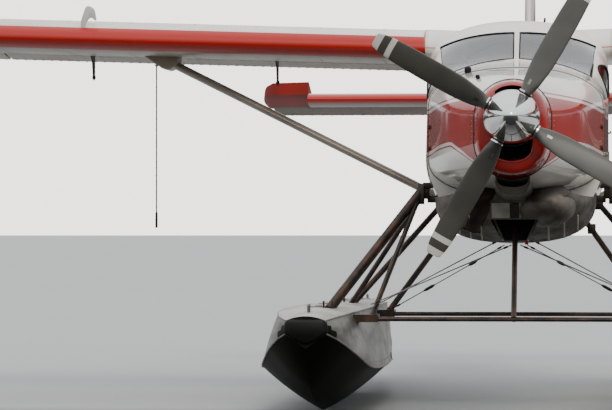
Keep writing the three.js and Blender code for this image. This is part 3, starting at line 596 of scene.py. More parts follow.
def waviness(tree, shader, size, depth, strength):
    """The slow waves of sheet metal under paint, or the grain of a moulded surface."""
    press(tree, shader, noise(tree, spot_in(tree), 1 / size, 2.0), strength, depth)


def stripe_curve(tree, along, points, low=1.5, high=3.5):
    """A height that follows a line of (station, height) points along the body."""
    first, last = points[0][0], points[-1][0]
    curve = add(tree, "ShaderNodeFloatCurve", {"Value": remap(tree, along, place(first), place(last))})
    line = curve.mapping.curves[0]
    for _ in points[2:]:
        line.points.new(0.5, 0.5)
    for k, (station, height) in enumerate(points):
        line.points[k].location = ((station - first) / (last - first), (height - low) / (high - low))
        line.points[k].handle_type = "VECTOR"
    curve.mapping.update()
    return remap(tree, curve, 0.0, 1.0, low, high)


def between(tree, value, low, high):
    """1 where a value lies between two others, each a number or a node."""
    above, below = calc(tree, "GREATER_THAN", value, low), calc(tree, "LESS_THAN", value, high)
    return calc(tree, "MULTIPLY", above, below)


def body_enamel(name, white, red_paint):
    """Gloss enamel on aluminium sheet: white, with a red flank between two drooping lines and
    a thin red line outside each of them. The gloss mirrors the sky; lower down the paint is
    blended into patchy grey-brown, which is painted shade under the belly with dirt in it."""
    material, tree, shader = finish(name, Roughness=0.25, Coat_Weight=1.0, Coat_Roughness=0.04, Coat_IOR=1.6)
    _, along, height = parts_of(tree, spot_in(tree))
    upper, lower = stripe_curve(tree, along, STRIPE_TOP), stripe_curve(tree, along, STRIPE_BOTTOM)
    red = between(tree, height, lower, upper)
    for edge, gap in ((upper, PINSTRIPE_GAP), (lower, -PINSTRIPE_GAP)):
        off = calc(tree, "SUBTRACT", height, calc(tree, "ADD", edge, gap))
        line = calc(tree, "LESS_THAN", calc(tree, "ABSOLUTE", off), PINSTRIPE_WIDTH / 2)
        red = calc(tree, "MAXIMUM", red, line)
    base = blend(tree, red, white, red_paint)
    # painted shade: the lower the skin, the more it is blended into the darker, dirt-patched colour
    underside_shade = remap(tree, height, 2.5, 1.7, 0.05, 0.75)
    shade_and_dirt = grime(tree, base, "#8A8175", 0.9, 1.6, (1.0, 0.35, 1.6))
    tree.links.new(blend(tree, underside_shade, base, shade_and_dirt), shader.inputs["Base Color"])
    waviness(tree, shader, 0.6, 0.004, 0.12)
    return material


def plain_enamel(name, colour, dirt="#8A8175", amount=0.3, rough=0.3, coat=0.6, gloss=0.5):
    """Gloss enamel in one colour, with a little dirt."""
    material, tree, shader = finish(
        name, Roughness=rough, Coat_Weight=coat, Coat_Roughness=0.08, Specular_IOR_Level=gloss,
    )
    tree.links.new(grime(tree, colour, dirt, amount, 2.5), shader.inputs["Base Color"])
    waviness(tree, shader, 0.1, 0.002, 0.2)
    return material


def airfoil_enamel(name, front_lines, top, under, red, dirt):
    """Enamel on a wing or tailplane: a red leading edge back to a line on each surface, white
    above, and an underside darker as painted shade, with dirt patches. front_lines are the rows' Y
    where the red ends, as (above, below), and the side is told from which way the surface faces."""
    material, tree, shader = finish(
        name, Roughness=0.42, Coat_Weight=0.15, Coat_Roughness=0.15, Specular_IOR_Level=0.35,
    )
    facing = parts_of(tree, add(tree, "ShaderNodeTexCoord").outputs["Normal"])
    upward = calc(tree, "GREATER_THAN", facing[2], 0.0)
    limit = remap(tree, upward, 0.0, 1.0, front_lines[1], front_lines[0])
    edge = calc(tree, "LESS_THAN", parts_of(tree, spot_in(tree))[1], limit)
    # the underside's own colour is darker than the top's as painted shade; the patches over it are dirt
    shaded_worn_under = grime(tree, under, dirt, 0.85, 1.5, (1.6, 0.5, 1))
    clean_top = grime(tree, top, "#A59D90", 0.35, 1.2, (0.4, 1.5, 1))
    painted = blend(tree, edge, blend(tree, upward, shaded_worn_under, clean_top), red)
    tree.links.new(painted, shader.inputs["Base Color"])
    waviness(tree, shader, 0.15, 0.002, 0.25)
    return material


def fin_enamel(name, front, side):
    """Gloss enamel on the fin: pale along its blunt front and red on its flanks, told apart by
    how far out from the middle the skin lies."""
    material, tree, shader = finish(name, Roughness=0.3, Coat_Weight=0.8, Coat_Roughness=0.06)
    across = calc(tree, "ABSOLUTE", parts_of(tree, spot_in(tree))[0])
    two = blend(tree, calc(tree, "GREATER_THAN", across, FIN_FRONT_HALF), front, side)
    tree.links.new(grime(tree, two, "#8A8175", 0.3), shader.inputs["Base Color"])
    waviness(tree, shader, 0.1, 0.002, 0.2)
    return material


def metal(name, colour, dirt, rough=0.45, amount=0.6, scale=6.0, stretch=(1, 1, 1), metallic=1.0):
    """Bare or worn metal, with stains that are duller than the metal."""
    material, tree, shader = finish(name, Metallic=metallic)
    tree.links.new(grime(tree, colour, dirt, amount, scale, stretch), shader.inputs["Base Color"])
    cloud = noise(tree, spot_in(tree), scale * 3, 4.0)
    dull = remap(tree, cloud, 0.3, 0.7, rough * 0.75, min(1.0, rough * 1.35))
    tree.links.new(dull.outputs[0], shader.inputs["Roughness"])
    press(tree, shader, cloud, 0.2, 0.001)
    return material


def matt(name, colour, dirt, rough=0.75, amount=0.35, scale=12.0, grain=0.004, depth=0.0004, gloss=0.5):
    """A matt surface with a fine grain, such as moulded plastic or rubber."""
    material, tree, shader = finish(name, Roughness=rough, Specular_IOR_Level=gloss)
    tree.links.new(grime(tree, colour, dirt, amount, scale), shader.inputs["Base Color"])
    waviness(tree, shader, grain, depth, 0.5)
    return material


def blade_paint(name, colour):
    """Matt grey paint over forged aluminium, with two pale bands near each tip, which follow
    the distance from the hub."""
    material, tree, shader = finish(name, Roughness=0.42, Coat_Weight=0.15, Coat_Roughness=0.3)
    flat = add(tree, "ShaderNodeVectorMath", {0: spot_in(tree), 1: (1, 0, 1)}, operation="MULTIPLY")
    reach = add(tree, "ShaderNodeVectorMath", {0: flat, 1: (HUB.x, 0, HUB.z)}, operation="DISTANCE")
    inner, outer = (between(tree, reach.outputs["Value"], *band) for band in BLADE_BANDS)
    base = grime(tree, colour, "#2F2F2B", 0.5, 4.0)
    both = blend(tree, calc(tree, "MAXIMUM", inner, outer), base, "#C9C6BE")
    tree.links.new(both, shader.inputs["Base Color"])
    waviness(tree, shader, 0.01, 0.0003, 0.3)
    return material


def cloth_cover(name, colour):
    """A hard-wearing woven cover: a fine crossed weave that softens the light at the edges."""
    material, tree, shader = finish(name, Roughness=0.9, Sheen_Weight=0.3)
    thread = {"Vector": spot_in(tree), "Scale": 90.0, "Distortion": 0.6}
    weft, warp = (add(tree, "ShaderNodeTexWave", thread, bands_direction=way) for way in "XZ")
    tree.links.new(grime(tree, colour, "#2E2C2A", 0.6, 8.0), shader.inputs["Base Color"])
    press(tree, shader, calc(tree, "MULTIPLY", weft, warp), 0.5, 0.0008)
    return material


def tinted_glass(name):
    """Grey-tinted acrylic: clear enough to show the seats, with sky in its face."""
    material, tree, shader = finish(
        name, Base_Color=linear("#C4C4CA"), IOR=1.49, Transmission_Weight=1.0,
        Coat_Weight=1.0, Coat_Roughness=0.02, Coat_IOR=1.9,
    )
    rough = remap(tree, noise(tree, spot_in(tree), 3.0, 3.0), 0.3, 0.7, 0.02, 0.07)
    tree.links.new(rough.outputs[0], shader.inputs["Roughness"])
    return material


# Sizes and colours that a user may change


def colour_choice(name, description, default):
    """A colour in the panel, with its default in sRGB hex."""
    return FloatVectorProperty(
        name=name, description=description, subtype="COLOR", size=4, default=linear(default),
    )


def size_choice(name, description, default):
    """A length in the panel, in metres."""
    return FloatProperty(name=name, description=description, subtype="DISTANCE", default=default)


class FloatplanePaint(bpy.types.PropertyGroup):
    """Colours of the paint, which a user may change"""

    white: colour_choice("White", "Body colour", "#E6E2DA")
    red: colour_choice("Red", "Flank and leading-edge colour", "#A5160B")
    # the wings' underside colour, darker than the white above: painted shade
    underside: colour_choice("Underside", "Weathered underside colour", "#9A9183")
    blade: colour_choice("Blade", "Propeller blade colour", "#45453F")


class FloatplaneSizes(bpy.types.PropertyGroup):
    """Sizes of the small parts, which a user may change"""

    rivet_diameter: size_choice("Rivet diameter", "Across a rivet's head", 0.010)
    rivet_pitch: size_choice("Rivet pitch", "From one rivet to the next", 0.045)
    wire_diameter: size_choice("Brace wire diameter", "Across a brace wire", 0.011)
    gasket_width: size_choice("Gasket width", "Across a window's rubber seal", 0.022)
    blade_sides: IntProperty(
        name="Blade sides", description="Points round a propeller blade's section", default=28, min=8,
    )


class MakeFinishes(bpy.types.Operator):
    """Makes the paints, metals, glass, rubber and cloth"""

    bl_idname = "floatplane.finishes"
    bl_label = "Finishes"

    def execute(self, context):
        paint = context.scene.floatplane_paint
        white, red = tuple(paint.white), tuple(paint.red)
        wing_front, tail_front = place(WING["front"]), place(TAIL["front"])
        self.enamels(white, red)
        # the undersides get darker colours as painted shade: the wing's from the panel, the tailplane's dark
        # brown; the last colour of each is dirt
        FINISHES["wing"] = airfoil_enamel(
            "wing_enamel", (wing_front + 0.107, wing_front + 0.158), white, tuple(paint.underside), red,
            "#5F564A",
        )
        FINISHES["tail"] = airfoil_enamel(
            "tailplane_enamel", (tail_front + 0.13, tail_front + 0.09), white, "#5F5249", red, "#3F352E",
        )
        FINISHES["blade"] = blade_paint("matt_blade_paint", tuple(paint.blade))
        FINISHES["cloth"] = cloth_cover("woven_seat_cover", "#4B4A49")
        FINISHES["glass"] = tinted_glass("tinted_acrylic")
        self.metals()
        self.matt_surfaces()
        return {"FINISHED"}

    def enamels(self, white, red):
        """Paints: glossy where clean, duller and browner where spray and exhaust reach them."""
        FINISHES.update({
            "body": body_enamel("gloss_enamel_on_aluminium", white, red),
            "fin": fin_enamel("fin_enamel", white, red),
            "red": plain_enamel("red_gloss_enamel", red, "#6B1A14", 0.35, 0.22, 1.0),
            "rudder": plain_enamel("rudder_enamel", red, "#6B1A14", 0.35, 0.25, 0.9),
            "white": plain_enamel("white_gloss_enamel", white, "#9A9184", 0.4),
            "fillet": plain_enamel("pale_fillet_enamel", "#D5D6C8", "#8E8A7C", 0.4),
            "horn": plain_enamel("red_brown_enamel", "#7C130B", "#35130E", 0.5, 0.5, 0.0, 0.15),
            "control": plain_enamel("control_surface_enamel", "#988E80", "#5D5449", 0.6, 0.45, 0.1, 0.3),
            "tail_control": plain_enamel("elevator_enamel", "#63564C", "#40352E", 0.6, 0.5, 0.0, 0.2),
            "wing_strut": plain_enamel("grey_brown_strut_paint", "#857B70", "#5B5148", 0.6, 0.42, 0.4),
            "olive": plain_enamel("olive_scoop_paint", "#4A4638", "#2C2A22", 0.5, 0.5, 0.1),
            "rib": plain_enamel("pale_rib_paint", "#B9AFA2", "#6D6459", 0.5, 0.45, 0.2),
            "vane": plain_enamel("milky_moulded_plastic", "#BDBEBC", "#8F908C", 0.4, 0.3, 0.5),
        })

    def metals(self):
        """Bare sheet, castings and fittings: streaked and stained, with the stains duller. The belly
        sheet is darkened as painted shade, and the struts' lighter coppery patches are painted highlight
        mixed with wear.
        """
        FINISHES.update({
            "alclad": metal(
                "streaked_aluminium", "#A3A19C", "#3E3B36", 0.4, 0.8, 3.0, (0.8, 0.35, 2.0), 0.8
            ),
            "deck": metal("pale_deck_aluminium", "#C6C4BE", "#77736B", 0.5, 0.6, 4.0, (1, 0.4, 1), 0.45),
            "rail": metal("worn_rail_aluminium", "#8E8C88", "#3C3934", 0.45, 0.7, 8.0, (1, 0.3, 1), 0.7),
            # the float struts: brown-black paint with lighter coppery patches, which are painted highlight
            # mixed with worn paint
            "strut": metal(
                "brown_black_strut_paint_and_highlights", "#2C2521", "#6B4A36", 0.38, 0.5, 7.0, (1, 1, 0.3), 0.55
            ),
            "chrome": metal("polished_spinner_metal", "#E4E4E4", "#C9C7C2", 0.07, 0.25, 5.0),
            "steel": metal("stainless_fitting", "#8D8A85", "#4D4944", 0.35, 0.6, 20.0),
            "dark_steel": metal("oiled_steel_wire", "#45413C", "#2A2724", 0.45, 0.6, 20.0),
            "exhaust": metal("heat_stained_steel", "#1E1815", "#5A3A28", 0.6, 0.5, 2.6, metallic=0.6),
            "casting": metal("engine_casting", "#4A4743", "#24221F", 0.55, 0.7, 10.0),
            # the belly's sheet, also the swell and the scoop: its grey is darkened as painted shade under
            # the nose, with dark weathering patches
            "bare": metal("shaded_weathered_grey_sheet", "#716B64", "#332F2A", 0.5, 0.9, 5.0, (1, 1, 1.5), 0.7),
            "pale_sheet": metal("pale_patch_sheet", "#B5B1A8", "#6E685F", 0.45, 0.7, 5.0, (1, 1, 1.5), 0.4),
            "rivet": metal("painted_rivet_heads", "#A39C91", "#5E584F", 0.5, 0.5, 30.0, metallic=0.4),
        })

    def matt_surfaces(self):
        """Rubber, plastic, sealant and soot, and the near-black of painted shade: soft light with no mirror
        in it.
        """
        FINISHES.update({
            # near-black below the floats' chines and at the bows: painted shade under the floats
            "bottom": matt("shaded_float_bottom", "#090A06", "#1B1D12", 0.5, 0.5, 3.0, 0.03, 0.001, 0.12),
            "rubber": matt("black_rubber", "#090909", "#1C1B19", 0.55, 0.3, gloss=0.25),
            # near-black on the faces that cutters leave in openings, holes and the cowl's inside: painted
            # shade in recesses; it is also the dark joint line behind the bowl
            "dark": matt("recess_shade_and_joint_black", "#0B0B0B", "#15130F", 0.8, 0.3),
            # soot-black in the exhaust's bore, darkened further as painted shade inside the pipe
            "soot": matt("exhaust_soot_and_shade", "#0D0B09", "#1E1712", 0.9, 0.5),
            "plastic": matt("panel_plastic", "#232326", "#3A3A3C", 0.6, 0.2),
            "lining": matt("cabin_lining", "#8E8A82", "#6E6A62", 0.85, 0.3),
            "rope": matt("tarred_rope", "#2E2924", "#14110E", 0.9, 0.6, 60.0, 0.002, 0.001),
            "sealant": matt("seam_sealant", "#5C564E", "#3D3832", 0.7, 0.4),
            "white_trim": matt("white_plastic", "#DAD7D0", "#A7A297", 0.5, 0.3),
        })


# Stage


def overcast_sky(world):
    """A pale sky to look at, and for reflections a dark far shore between bright sky and water."""
    world.use_nodes = True
    tree = world.node_tree
    tree.nodes.clear()
    way = add(tree, "ShaderNodeTexCoord").outputs["Generated"]
    shift = remap(tree, noise(tree, way, 9.0, 5.0), 0.3, 0.7, -0.03, 0.03)
    level = calc(tree, "ADD", parts_of(tree, way)[2], shift)
    ramp = add(tree, "ShaderNodeValToRGB", {0: remap(tree, level, -1.0, 1.0)})
    stops = [
        (0.0, "#8A8F94"), (0.44, "#9DA3A8"), (0.475, "#2E3230"), (0.530, "#3A403F"), (0.542, "#C4C6C8"),
        (0.72, "#E9EAEC"), (1.0, "#F2F4F6"),
    ]
    while len(ramp.color_ramp.elements) < len(stops):
        ramp.color_ramp.elements.new(0.5)
    for element, (at, colour) in zip(ramp.color_ramp.elements, stops):
        element.position = at
        element.color = linear(colour)
    colour, strength = SEEN_SKY
    seen = add(tree, "ShaderNodeBackground", {"Color": linear(colour), "Strength": strength})
    mirrored_sky = add(tree, "ShaderNodeBackground", {"Color": ramp, "Strength": SKY_STRENGTH})
    to_camera = add(tree, "ShaderNodeLightPath").outputs["Is Camera Ray"]
    both = add(tree, "ShaderNodeMixShader", {0: to_camera, 1: mirrored_sky, 2: seen})
    add(tree, "ShaderNodeOutputWorld", {"Surface": both})


def lake_floor(name):
    """A matt floor, pale round the aircraft and dark ahead of it, where the nose mirrors it: the dark is
    painted shade, as under a jetty.
    """
    material, tree, shader = finish(name, Roughness=0.9)
    # painted shade on the floor ahead of the aircraft, for the nose and belly to mirror
    ahead = remap(tree, parts_of(tree, spot_in(tree))[1], place(2.2), place(0.2))
    pale = grime(tree, FLOOR_COLOUR, "#9FA1A3", 0.2, 0.05)
    tree.links.new(blend(tree, ahead, pale, "#1C1D1B"), shader.inputs["Base Color"])
    return material


class MakeStage(bpy.types.Operator):
    """Adds the camera at the photograph's place, the sky, the sun and the floor"""

    bl_idname = "floatplane.stage"
    bl_label = "Stage"

    def execute(self, context):
        scene = context.scene
        lens = bpy.data.cameras.new("camera")
        lens.lens = CAMERA_LENS
        lens.sensor_width = CAMERA_SENSOR
        lens.clip_end = CAMERA_REACH
        eye = bpy.data.objects.new("camera", lens)
        eye.location = CAMERA_PLACE
        eye.rotation_euler = (math.pi / 2 + CAMERA_PITCH, 0.0, CAMERA_TURN)
        scene.collection.objects.link(eye)
        scene.camera = eye
        scene.world = bpy.data.worlds.new("overcast")
        overcast_sky(scene.world)
        lamp = bpy.data.lights.new("veiled_sun", "SUN")
        lamp.energy = SUN_STRENGTH
        lamp.angle = math.radians(25)
        lamp.color = linear("#FFF6EA")[:3]
        sun = bpy.data.objects.new("veiled_sun", lamp)
        sun.rotation_euler = Vector(SUN_FROM).to_track_quat("Z", "Y").to_euler()
        scene.collection.objects.link(sun)
        half = FLOOR_SIZE / 2
        corners = [(-half, -half, 0), (half, -half, 0), (half, half, 0), (-half, half, 0)]
        floor = make("floor", corners, [(0, 1, 2, 3)], lake_floor("pale_studio_floor"))
        return {"FINISHED"}


# Surfaces that several pieces share


def float_ring(s, steps=8):
    """One loop round a float about x = 0: a V bottom with flare, sides, and a crowned deck."""
    y = place(FLOAT_BOW + s["along"])
    rise = s["chine"] - s["keel"]
    half = []
    for k in range(1, steps + 1):
        t = k / steps
        half.append((s["chine_half"] * t, s["keel"] + rise * (0.68 * t + 0.32 * t * t)))
    for k in range(1, steps + 1):
        t = k / steps
        x = s["chine_half"] + (s["gunwale_half"] - s["chine_half"]) * t + 0.048 * t * (1 - t)
        half.append((x, s["chine"] + (s["gunwale"] - s["chine"]) * t))
    for k in range(1, steps):
        t = 1 - k / steps
        half.append((s["gunwale_half"] * t, s["gunwale"] + 0.035 * (1 - t * t)))
    left = [(x, y, z) for x, z in half]
    right = [(-x, y, z) for x, z in reversed(half)]
    return [(0, y, s["keel"]), *left, (0, y, s["gunwale"] + 0.035), *right]


def float_rings(sections, spacing=0.12):
    """Rings along one stretch of a float."""
    start, end = sections[0][0], sections[-1][0]
    count = round((end - start) / spacing)
    stations = [start + (end - start) * k / count for k in range(count + 1)]
    return [float_ring(section_at(sections, FLOAT_COLUMNS, s)) for s in stations]


def half_thickness(thickness, share):
    """Half the depth of a wing section, as a share of its chord."""
    return 5 * thickness * (
        0.2969 * math.sqrt(share) - 0.126 * share - 0.3516 * share**2 + 0.2843 * share**3 - 0.1015 * share**4
    )


def camber_at(camber, share):
    """How far a wing section's middle line is lifted, as a share of its chord."""
    if share < 0.4:
        return camber / 0.16 * (0.8 * share - share * share)
    return camber / 0.36 * (0.2 + 0.8 * share - share * share)


def foil_points(foil, start, end, steps=22, grow=0.0):
    """Points (y, z) round a section between two shares of its chord, from low and behind."""
    shares = []
    for k in range(steps + 1):
        even = k / steps
        shares.append(start + (end - start) * (even**1.9 if start == 0 else even))
    chord = foil["chord"]

    def point(share, sign):
        depth = max(half_thickness(foil["thickness"], share), 0.002) * chord + grow
        return share * chord, camber_at(foil["camber"], share) * chord + sign * depth

    lower = [point(s, -1) for s in shares]
    upper = [point(s, 1) for s in reversed(shares)]
    return lower + (upper[:-1] if start == 0 else upper)


def hinged_points(foil, hinge, grow=0.0, nose_steps=8):
    """A hinged surface: a round nose about its hinge, then the section's back end."""
    chord = foil["chord"]
    radius = half_thickness(foil["thickness"], hinge) * chord
    centre = (hinge * chord, camber_at(foil["camber"], hinge) * chord)
    nose = []
    for k in range(nose_steps + 1):
        angle = math.pi / 2 + math.pi * k / nose_steps
        nose.append((centre[0] + radius * math.cos(angle), centre[1] + radius * math.sin(angle)))
    return nose + foil_points(foil, hinge, 1, 5, grow)[1:-1], centre, radius


def wing_height(x):
    """The height of the left wing's reference line at a distance from the middle."""
    return WING["height"] + DIHEDRAL * (x - HALF_WIDTH)


def turn_about(points, centre, angle):
    """Turns pairs of values about a centre."""
    c, s = math.cos(angle), math.sin(angle)
    moved = [(y - centre[0], z - centre[1]) for y, z in points]
    return [(centre[0] + y * c - z * s, centre[1] + y * s + z * c) for y, z in moved]


def wing_ring(points, x, shrink=1.0):
    """One station of the left wing; near the tip it shrinks about 42% of its chord."""
    middle = 0.42 * WING["chord"]
    shrunk = [(middle + (y - middle) * shrink, z * shrink) for y, z in points]
    front = place(WING["front"])
    return [(x, front + y, wing_height(x) + z) for y, z in turn_about(shrunk, (0, 0), -INCIDENCE)]


def tail_ring(points, x):
    """One station of the tailplane."""
    return [(x, place(TAIL["front"]) + y, TAIL["height"] + z) for y, z in points]


def mirrored(parts):
    """The same points and faces on the other side."""
    points, faces = parts
    return [(-p[0], p[1], p[2]) for p in points], [tuple(reversed(face)) for face in faces]


def sided(parts, side):
    """Points and faces of the left side, or their mirror image for the right."""
    return parts if side > 0 else mirrored(parts)


def ribbed(ring_at, start, end, pitch=0.09, width=0.022, height=0.004, per_rib=6):
    """Rings of a hinged surface whose skin is pressed into beads across the span."""
    rings = []
    count = int((end - start) / pitch)
    for k in range(count):
        middle = start + (k + 0.5) * (end - start) / count
        for step in range(per_rib + 1):
            offset = (step / per_rib - 0.5) * 2
            lift = height * (0.5 + 0.5 * math.cos(math.pi * offset))
            rings.append(ring_at(middle + offset * width, lift))
    return [ring_at(start, 0.0), *rings, ring_at(end, 0.0)]


CABIN_SKIN = skin_tree(body_rings(CABIN_SECTIONS, 1.75, 11.5, 0.05))
NOSE_SKIN = skin_tree(body_rings(COWL_SECTIONS, 0.46, 1.75, 0.05))


def on_side(side, station, z, tree=CABIN_SKIN):
    """The place and the normal on one side of the fuselage."""
    return cast(tree, (side * 2.0, place(station), z), (-side, 0, 0))


def on_front(x, z):
    """The place and the normal on the cabin's front."""
    return cast(CABIN_SKIN, (x, place(1.0), z), ALONG)


def curve_through(points, steps):
    """A smooth open line through points, each at its own share of the way."""
    shares = [k / (len(points) - 1) for k in range(len(points))]
    columns = columns_of(points)
    return [tuple(monotone(shares, column, k / steps) for column in columns) for k in range(steps + 1)]


def pane_edge(points, u):
    """A point on a curve through three points."""
    a, b, c = points
    return tuple(
        p * (1 - u) * (1 - 2 * u) + q * 4 * u * (1 - u) + r * u * (2 * u - 1) for p, q, r in zip(a, b, c)
    )


def pane_outline(steps=14):
    """The outline of the left windscreen pane as pairs of x and height."""
    low, high = WINDSCREEN_OUTLINE[:3], WINDSCREEN_OUTLINE[:2:-1]
    shares = [k / steps for k in range(steps + 1)]
    return [pane_edge(low, s) for s in shares] + [pane_edge(high, s) for s in reversed(shares)]


# Rope


def twisted_rope(path, radius, lobes=3, turn=0.075, sides=15):
    """Points and faces of a laid rope: its section has a lobe for each strand and turns along."""
    rings = []
    reach = 0.0
    for k, point in enumerate(path):
        reach += (Vector(point) - Vector(path[k - 1])).length if k else 0.0
        ring = []
        for i in range(sides):
            angle = 2 * math.pi * i / sides
            lobe = 0.86 + 0.14 * math.cos(lobes * (angle - 2 * math.pi * reach / turn))
            x = point[0] + radius * lobe * math.cos(angle)
            ring.append((x, point[1] + radius * lobe * math.sin(angle), point[2]))
        rings.append(ring)
    return loft(rings)


class MakeRope(bpy.types.Operator):
    """Hangs the mooring rope, with its grip, from the right wing's strut fairing"""

    bl_idname = "floatplane.rope"
    bl_label = "Mooring rope"

    def execute(self, context):
        y, steps = place(ROPE_STATION), 300
        path = [(ROPE_X, y, ROPE_TOP + (ROPE_BOTTOM - ROPE_TOP) * k / steps) for k in range(steps + 1)]
        strands = twisted_rope(path, ROPE_DIAMETER / 2)
        rope = dress("laid_rope", strands, "rope", "rope_fibre", "mooring_rope", angle=60)
        low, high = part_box("rope_grip")
        half, tall, ribs = (high.x - low.x) / 2, high.z - low.z, 7
        profile = [(0, 0), (0.6 * half, 0.001)]
        for k in range(ribs):
            start = 0.008 + k * 0.02
            profile += [(0.8 * half, start), (half, start + 0.004)]
            profile += [(half, start + 0.014), (0.8 * half, start + 0.018)]
        profile += [(0.55 * half, tall - 0.002), (0, tall)]
        handle = turned(profile, (ROPE_X, y, low.z), UP, 20)
        grip = dress("rope_end_grip", handle, "rubber", "grip_rubber", "rope_grip")
        return {"FINISHED"}


# Cabin


INNER_HALF_WIDTH = HALF_WIDTH - WALL
HOLLOW_SECTIONS = [
    (1.81, 0.77, 3.100, 2.76, WAIST, 1.99, 0, 2.2, 5),
    (2.18, 0.80, 3.175, 2.84, WAIST, 1.99, 0.42, 2.2, 5),
    (2.58, INNER_HALF_WIDTH, 3.480, 3.08, WAIST, 1.99, 0.34, 2.2, 5),
    (3.15, INNER_HALF_WIDTH, 3.550, 3.20, WAIST, 1.99, 0, 2.2, 5),
    (5.13, INNER_HALF_WIDTH, 3.500, 3.20, WAIST, 1.99, 0, 2.2, 5),
    (CABIN_END - WALL, INNER_HALF_WIDTH, 3.460, 3.20, WAIST, 1.99, 0, 2.2, 5),
]


def hollow(start, end, spacing=0.1):
    """The room inside the cabin as a solid to cut with, with its flat floor."""
    rings = body_rings(HOLLOW_SECTIONS, start, end, spacing)
    rings = [[(x, y, max(z, CABIN_FLOOR)) for x, y, z in ring] for ring in rings]
    return solid("hollow", loft(rings), "lining")


def cabin_windows(word):
    """The fixed windows of one side: from and to along the body, in height, and their corners."""
    return [(along, WINDOW_HEIGHT, WINDOW_RADIUS) for along in SIDE_WINDOWS + REAR_WINDOWS[word]]


def side_of(name):
    """The side that a door's name ends with."""
    return SIDES[name.rsplit("_", 1)[1]]


class MakeCabin(bpy.types.Operator):
    """Builds the hollow cabin with its openings, and the closed cone behind it"""

    bl_idname = "floatplane.cabin"
    bl_label = "Cabin and tail cone"

    def execute(self, context):
        windows = []
        for word, side in SIDES.items():
            windows += [side_slab(*window, side) for window in cabin_windows(word)]
            windows.append(side_slab(*QUARTER_WINDOW, WINDOW_RADIUS, side, near=0.74))
        for side in SIDES.values():
            windows.append(along_extrusion([(side * x, z) for x, z in pane_outline()], (2.0, 3.12)))
        doorways = [side_slab(row[0], row[1], DOOR_RADIUS, side_of(name)) for name, row in DOORS.items()]
        shell = loft(body_rings(CABIN_SECTIONS, 1.75, CABIN_END, 0.06))
        dress("cabin_skin", shell, "body", "airframe_skin", "cabin_shell", angle=30, tools=[
            hollow(1.81, CABIN_END - WALL), solid("windows", windows, "rubber"),
            solid("doorways", doorways, "white"),
        ])
        cone = loft(body_rings(CABIN_SECTIONS, CABIN_END + 0.0003, 11.5, 0.08))
        dress("tail_cone_skin", cone, "body", "airframe_skin", "tail_cone", angle=30)
        return {"FINISHED"}


PANE_DEPTHS = (HALF_WIDTH - 0.018, HALF_WIDTH - 0.012)


def seal(along, height, radius, side, width):
    """A flat rubber seal round a window, half of it over the opening's edge."""
    middle = side * HALF_WIDTH
    line = [(middle, y, z) for y, z in side_outline(along, height, radius)]
    points, faces = tube(line, width / 2, 8, looped=True)
    return [(middle + (p[0] - middle) * 0.45, p[1], p[2]) for p in points], faces


class MakeDoors(bpy.types.Operator):
    """Builds the crew and cabin doors, each on its own hinge, with window, seal and handle"""

    bl_idname = "floatplane.doors"
    bl_label = "Doors"

    def execute(self, context):
        width = context.scene.floatplane_sizes.gasket_width
        for name, (along, height, glass_along, glass_height) in DOORS.items():
            side, gap = side_of(name), SWING_GAP
            first, last = along
            window = (glass_along, glass_height, WINDOW_RADIUS, side)
            skin = loft(body_rings(CABIN_SECTIONS, first - 0.12, last + 0.12, 0.06))
            door = solid(f"{name}_skin", skin, "body")
            rise = (height[0] + gap, height[1] - gap)
            blank = side_slab((first + gap, last - gap), rise, DOOR_RADIUS - gap, side)
            carve(door, [solid("blank", blank, "white")], "INTERSECT")
            slant = [
                (side * 0.9, first - 0.1), (side * (HALF_WIDTH - 0.001), first + gap),
                (side * 0.7, first + gap + 0.3), (side * 0.7, first - 0.1),
            ]
            levels = (height[0] - 0.05, height[1] + 0.05)
            carve(door, [
                hollow(first - 0.2, last + 0.2),
                solid("wedge", loft([[(x, place(s), z) for x, s in slant] for z in levels]), "white"),
                solid("pane", side_slab(*window), "rubber"),
            ])
            finish_piece(door, "airframe_skin", name, body=name, angle=30)
            pane = side_slab(*window, *PANE_DEPTHS)
            dress(f"{name}_pane", pane, "glass", "window_glass", body=name, angle=None)
            dress(f"{name}_seal", seal(*window, width), "rubber", "panel_trim", body=name, angle=60)
            parts = self.fittings(side, first, last, height)
            dress(f"{name}_fittings", parts, "steel", "strut_metal", body=name)
        return {"FINISHED"}

    def fittings(self, side, first, last, height):
        """A door's handle with its rose, and its two hinge knuckles."""
        back, low = last - 0.14, 2.58
        x, foot = side * (HALF_WIDTH + 0.028), side * (HALF_WIDTH - 0.004)
        path = [(foot, place(back), low), (x, place(back), low + 0.004)]
        path.append((x, place(back - 0.13), low + 0.012))
        disc = [(0, -0.004), (0.026, -0.004), (0.026, 0.004), (0.018, 0.008), (0, 0.008)]
        parts = [tube(path, 0.009, 10)]
        parts.append(turned(disc, (side * HALF_WIDTH, place(back), low), (side, 0, 0), 20))
        for z in (height[0] + 0.2, height[1] - 0.22):
            pin = [(side * (HALF_WIDTH + 0.003), place(first + 0.016), z + dz) for dz in (-0.04, 0.04)]
            parts.append(tube(pin, 0.008, 10))
        return parts


def pane_grid(side, across=14, up=8):
    """Places on the skin under one windscreen pane, as rows of (point, normal)."""
    low, high = WINDSCREEN_OUTLINE[:3], WINDSCREEN_OUTLINE[:2:-1]
    rows = []
    for j in range(up + 1):
        row = []
        for i in range(across + 1):
            a, b = pane_edge(low, i / across), pane_edge(high, i / across)
            x, z = (p + (q - p) * j / up for p, q in zip(a, b))
            row.append(on_front(side * x, z))
        rows.append(row)
    return rows


def quarter_grid(side, across=6, up=6, over=0.008):
    """Places on the skin over a quarter window and a little beyond, as rows of (point, normal)."""
    (first, last), (low, high) = QUARTER_WINDOW
    stations = np.linspace(first - over, last + over, across + 1)
    return [[on_side(side, s, z) for s in stations] for z in np.linspace(low - over, high + over, up + 1)]


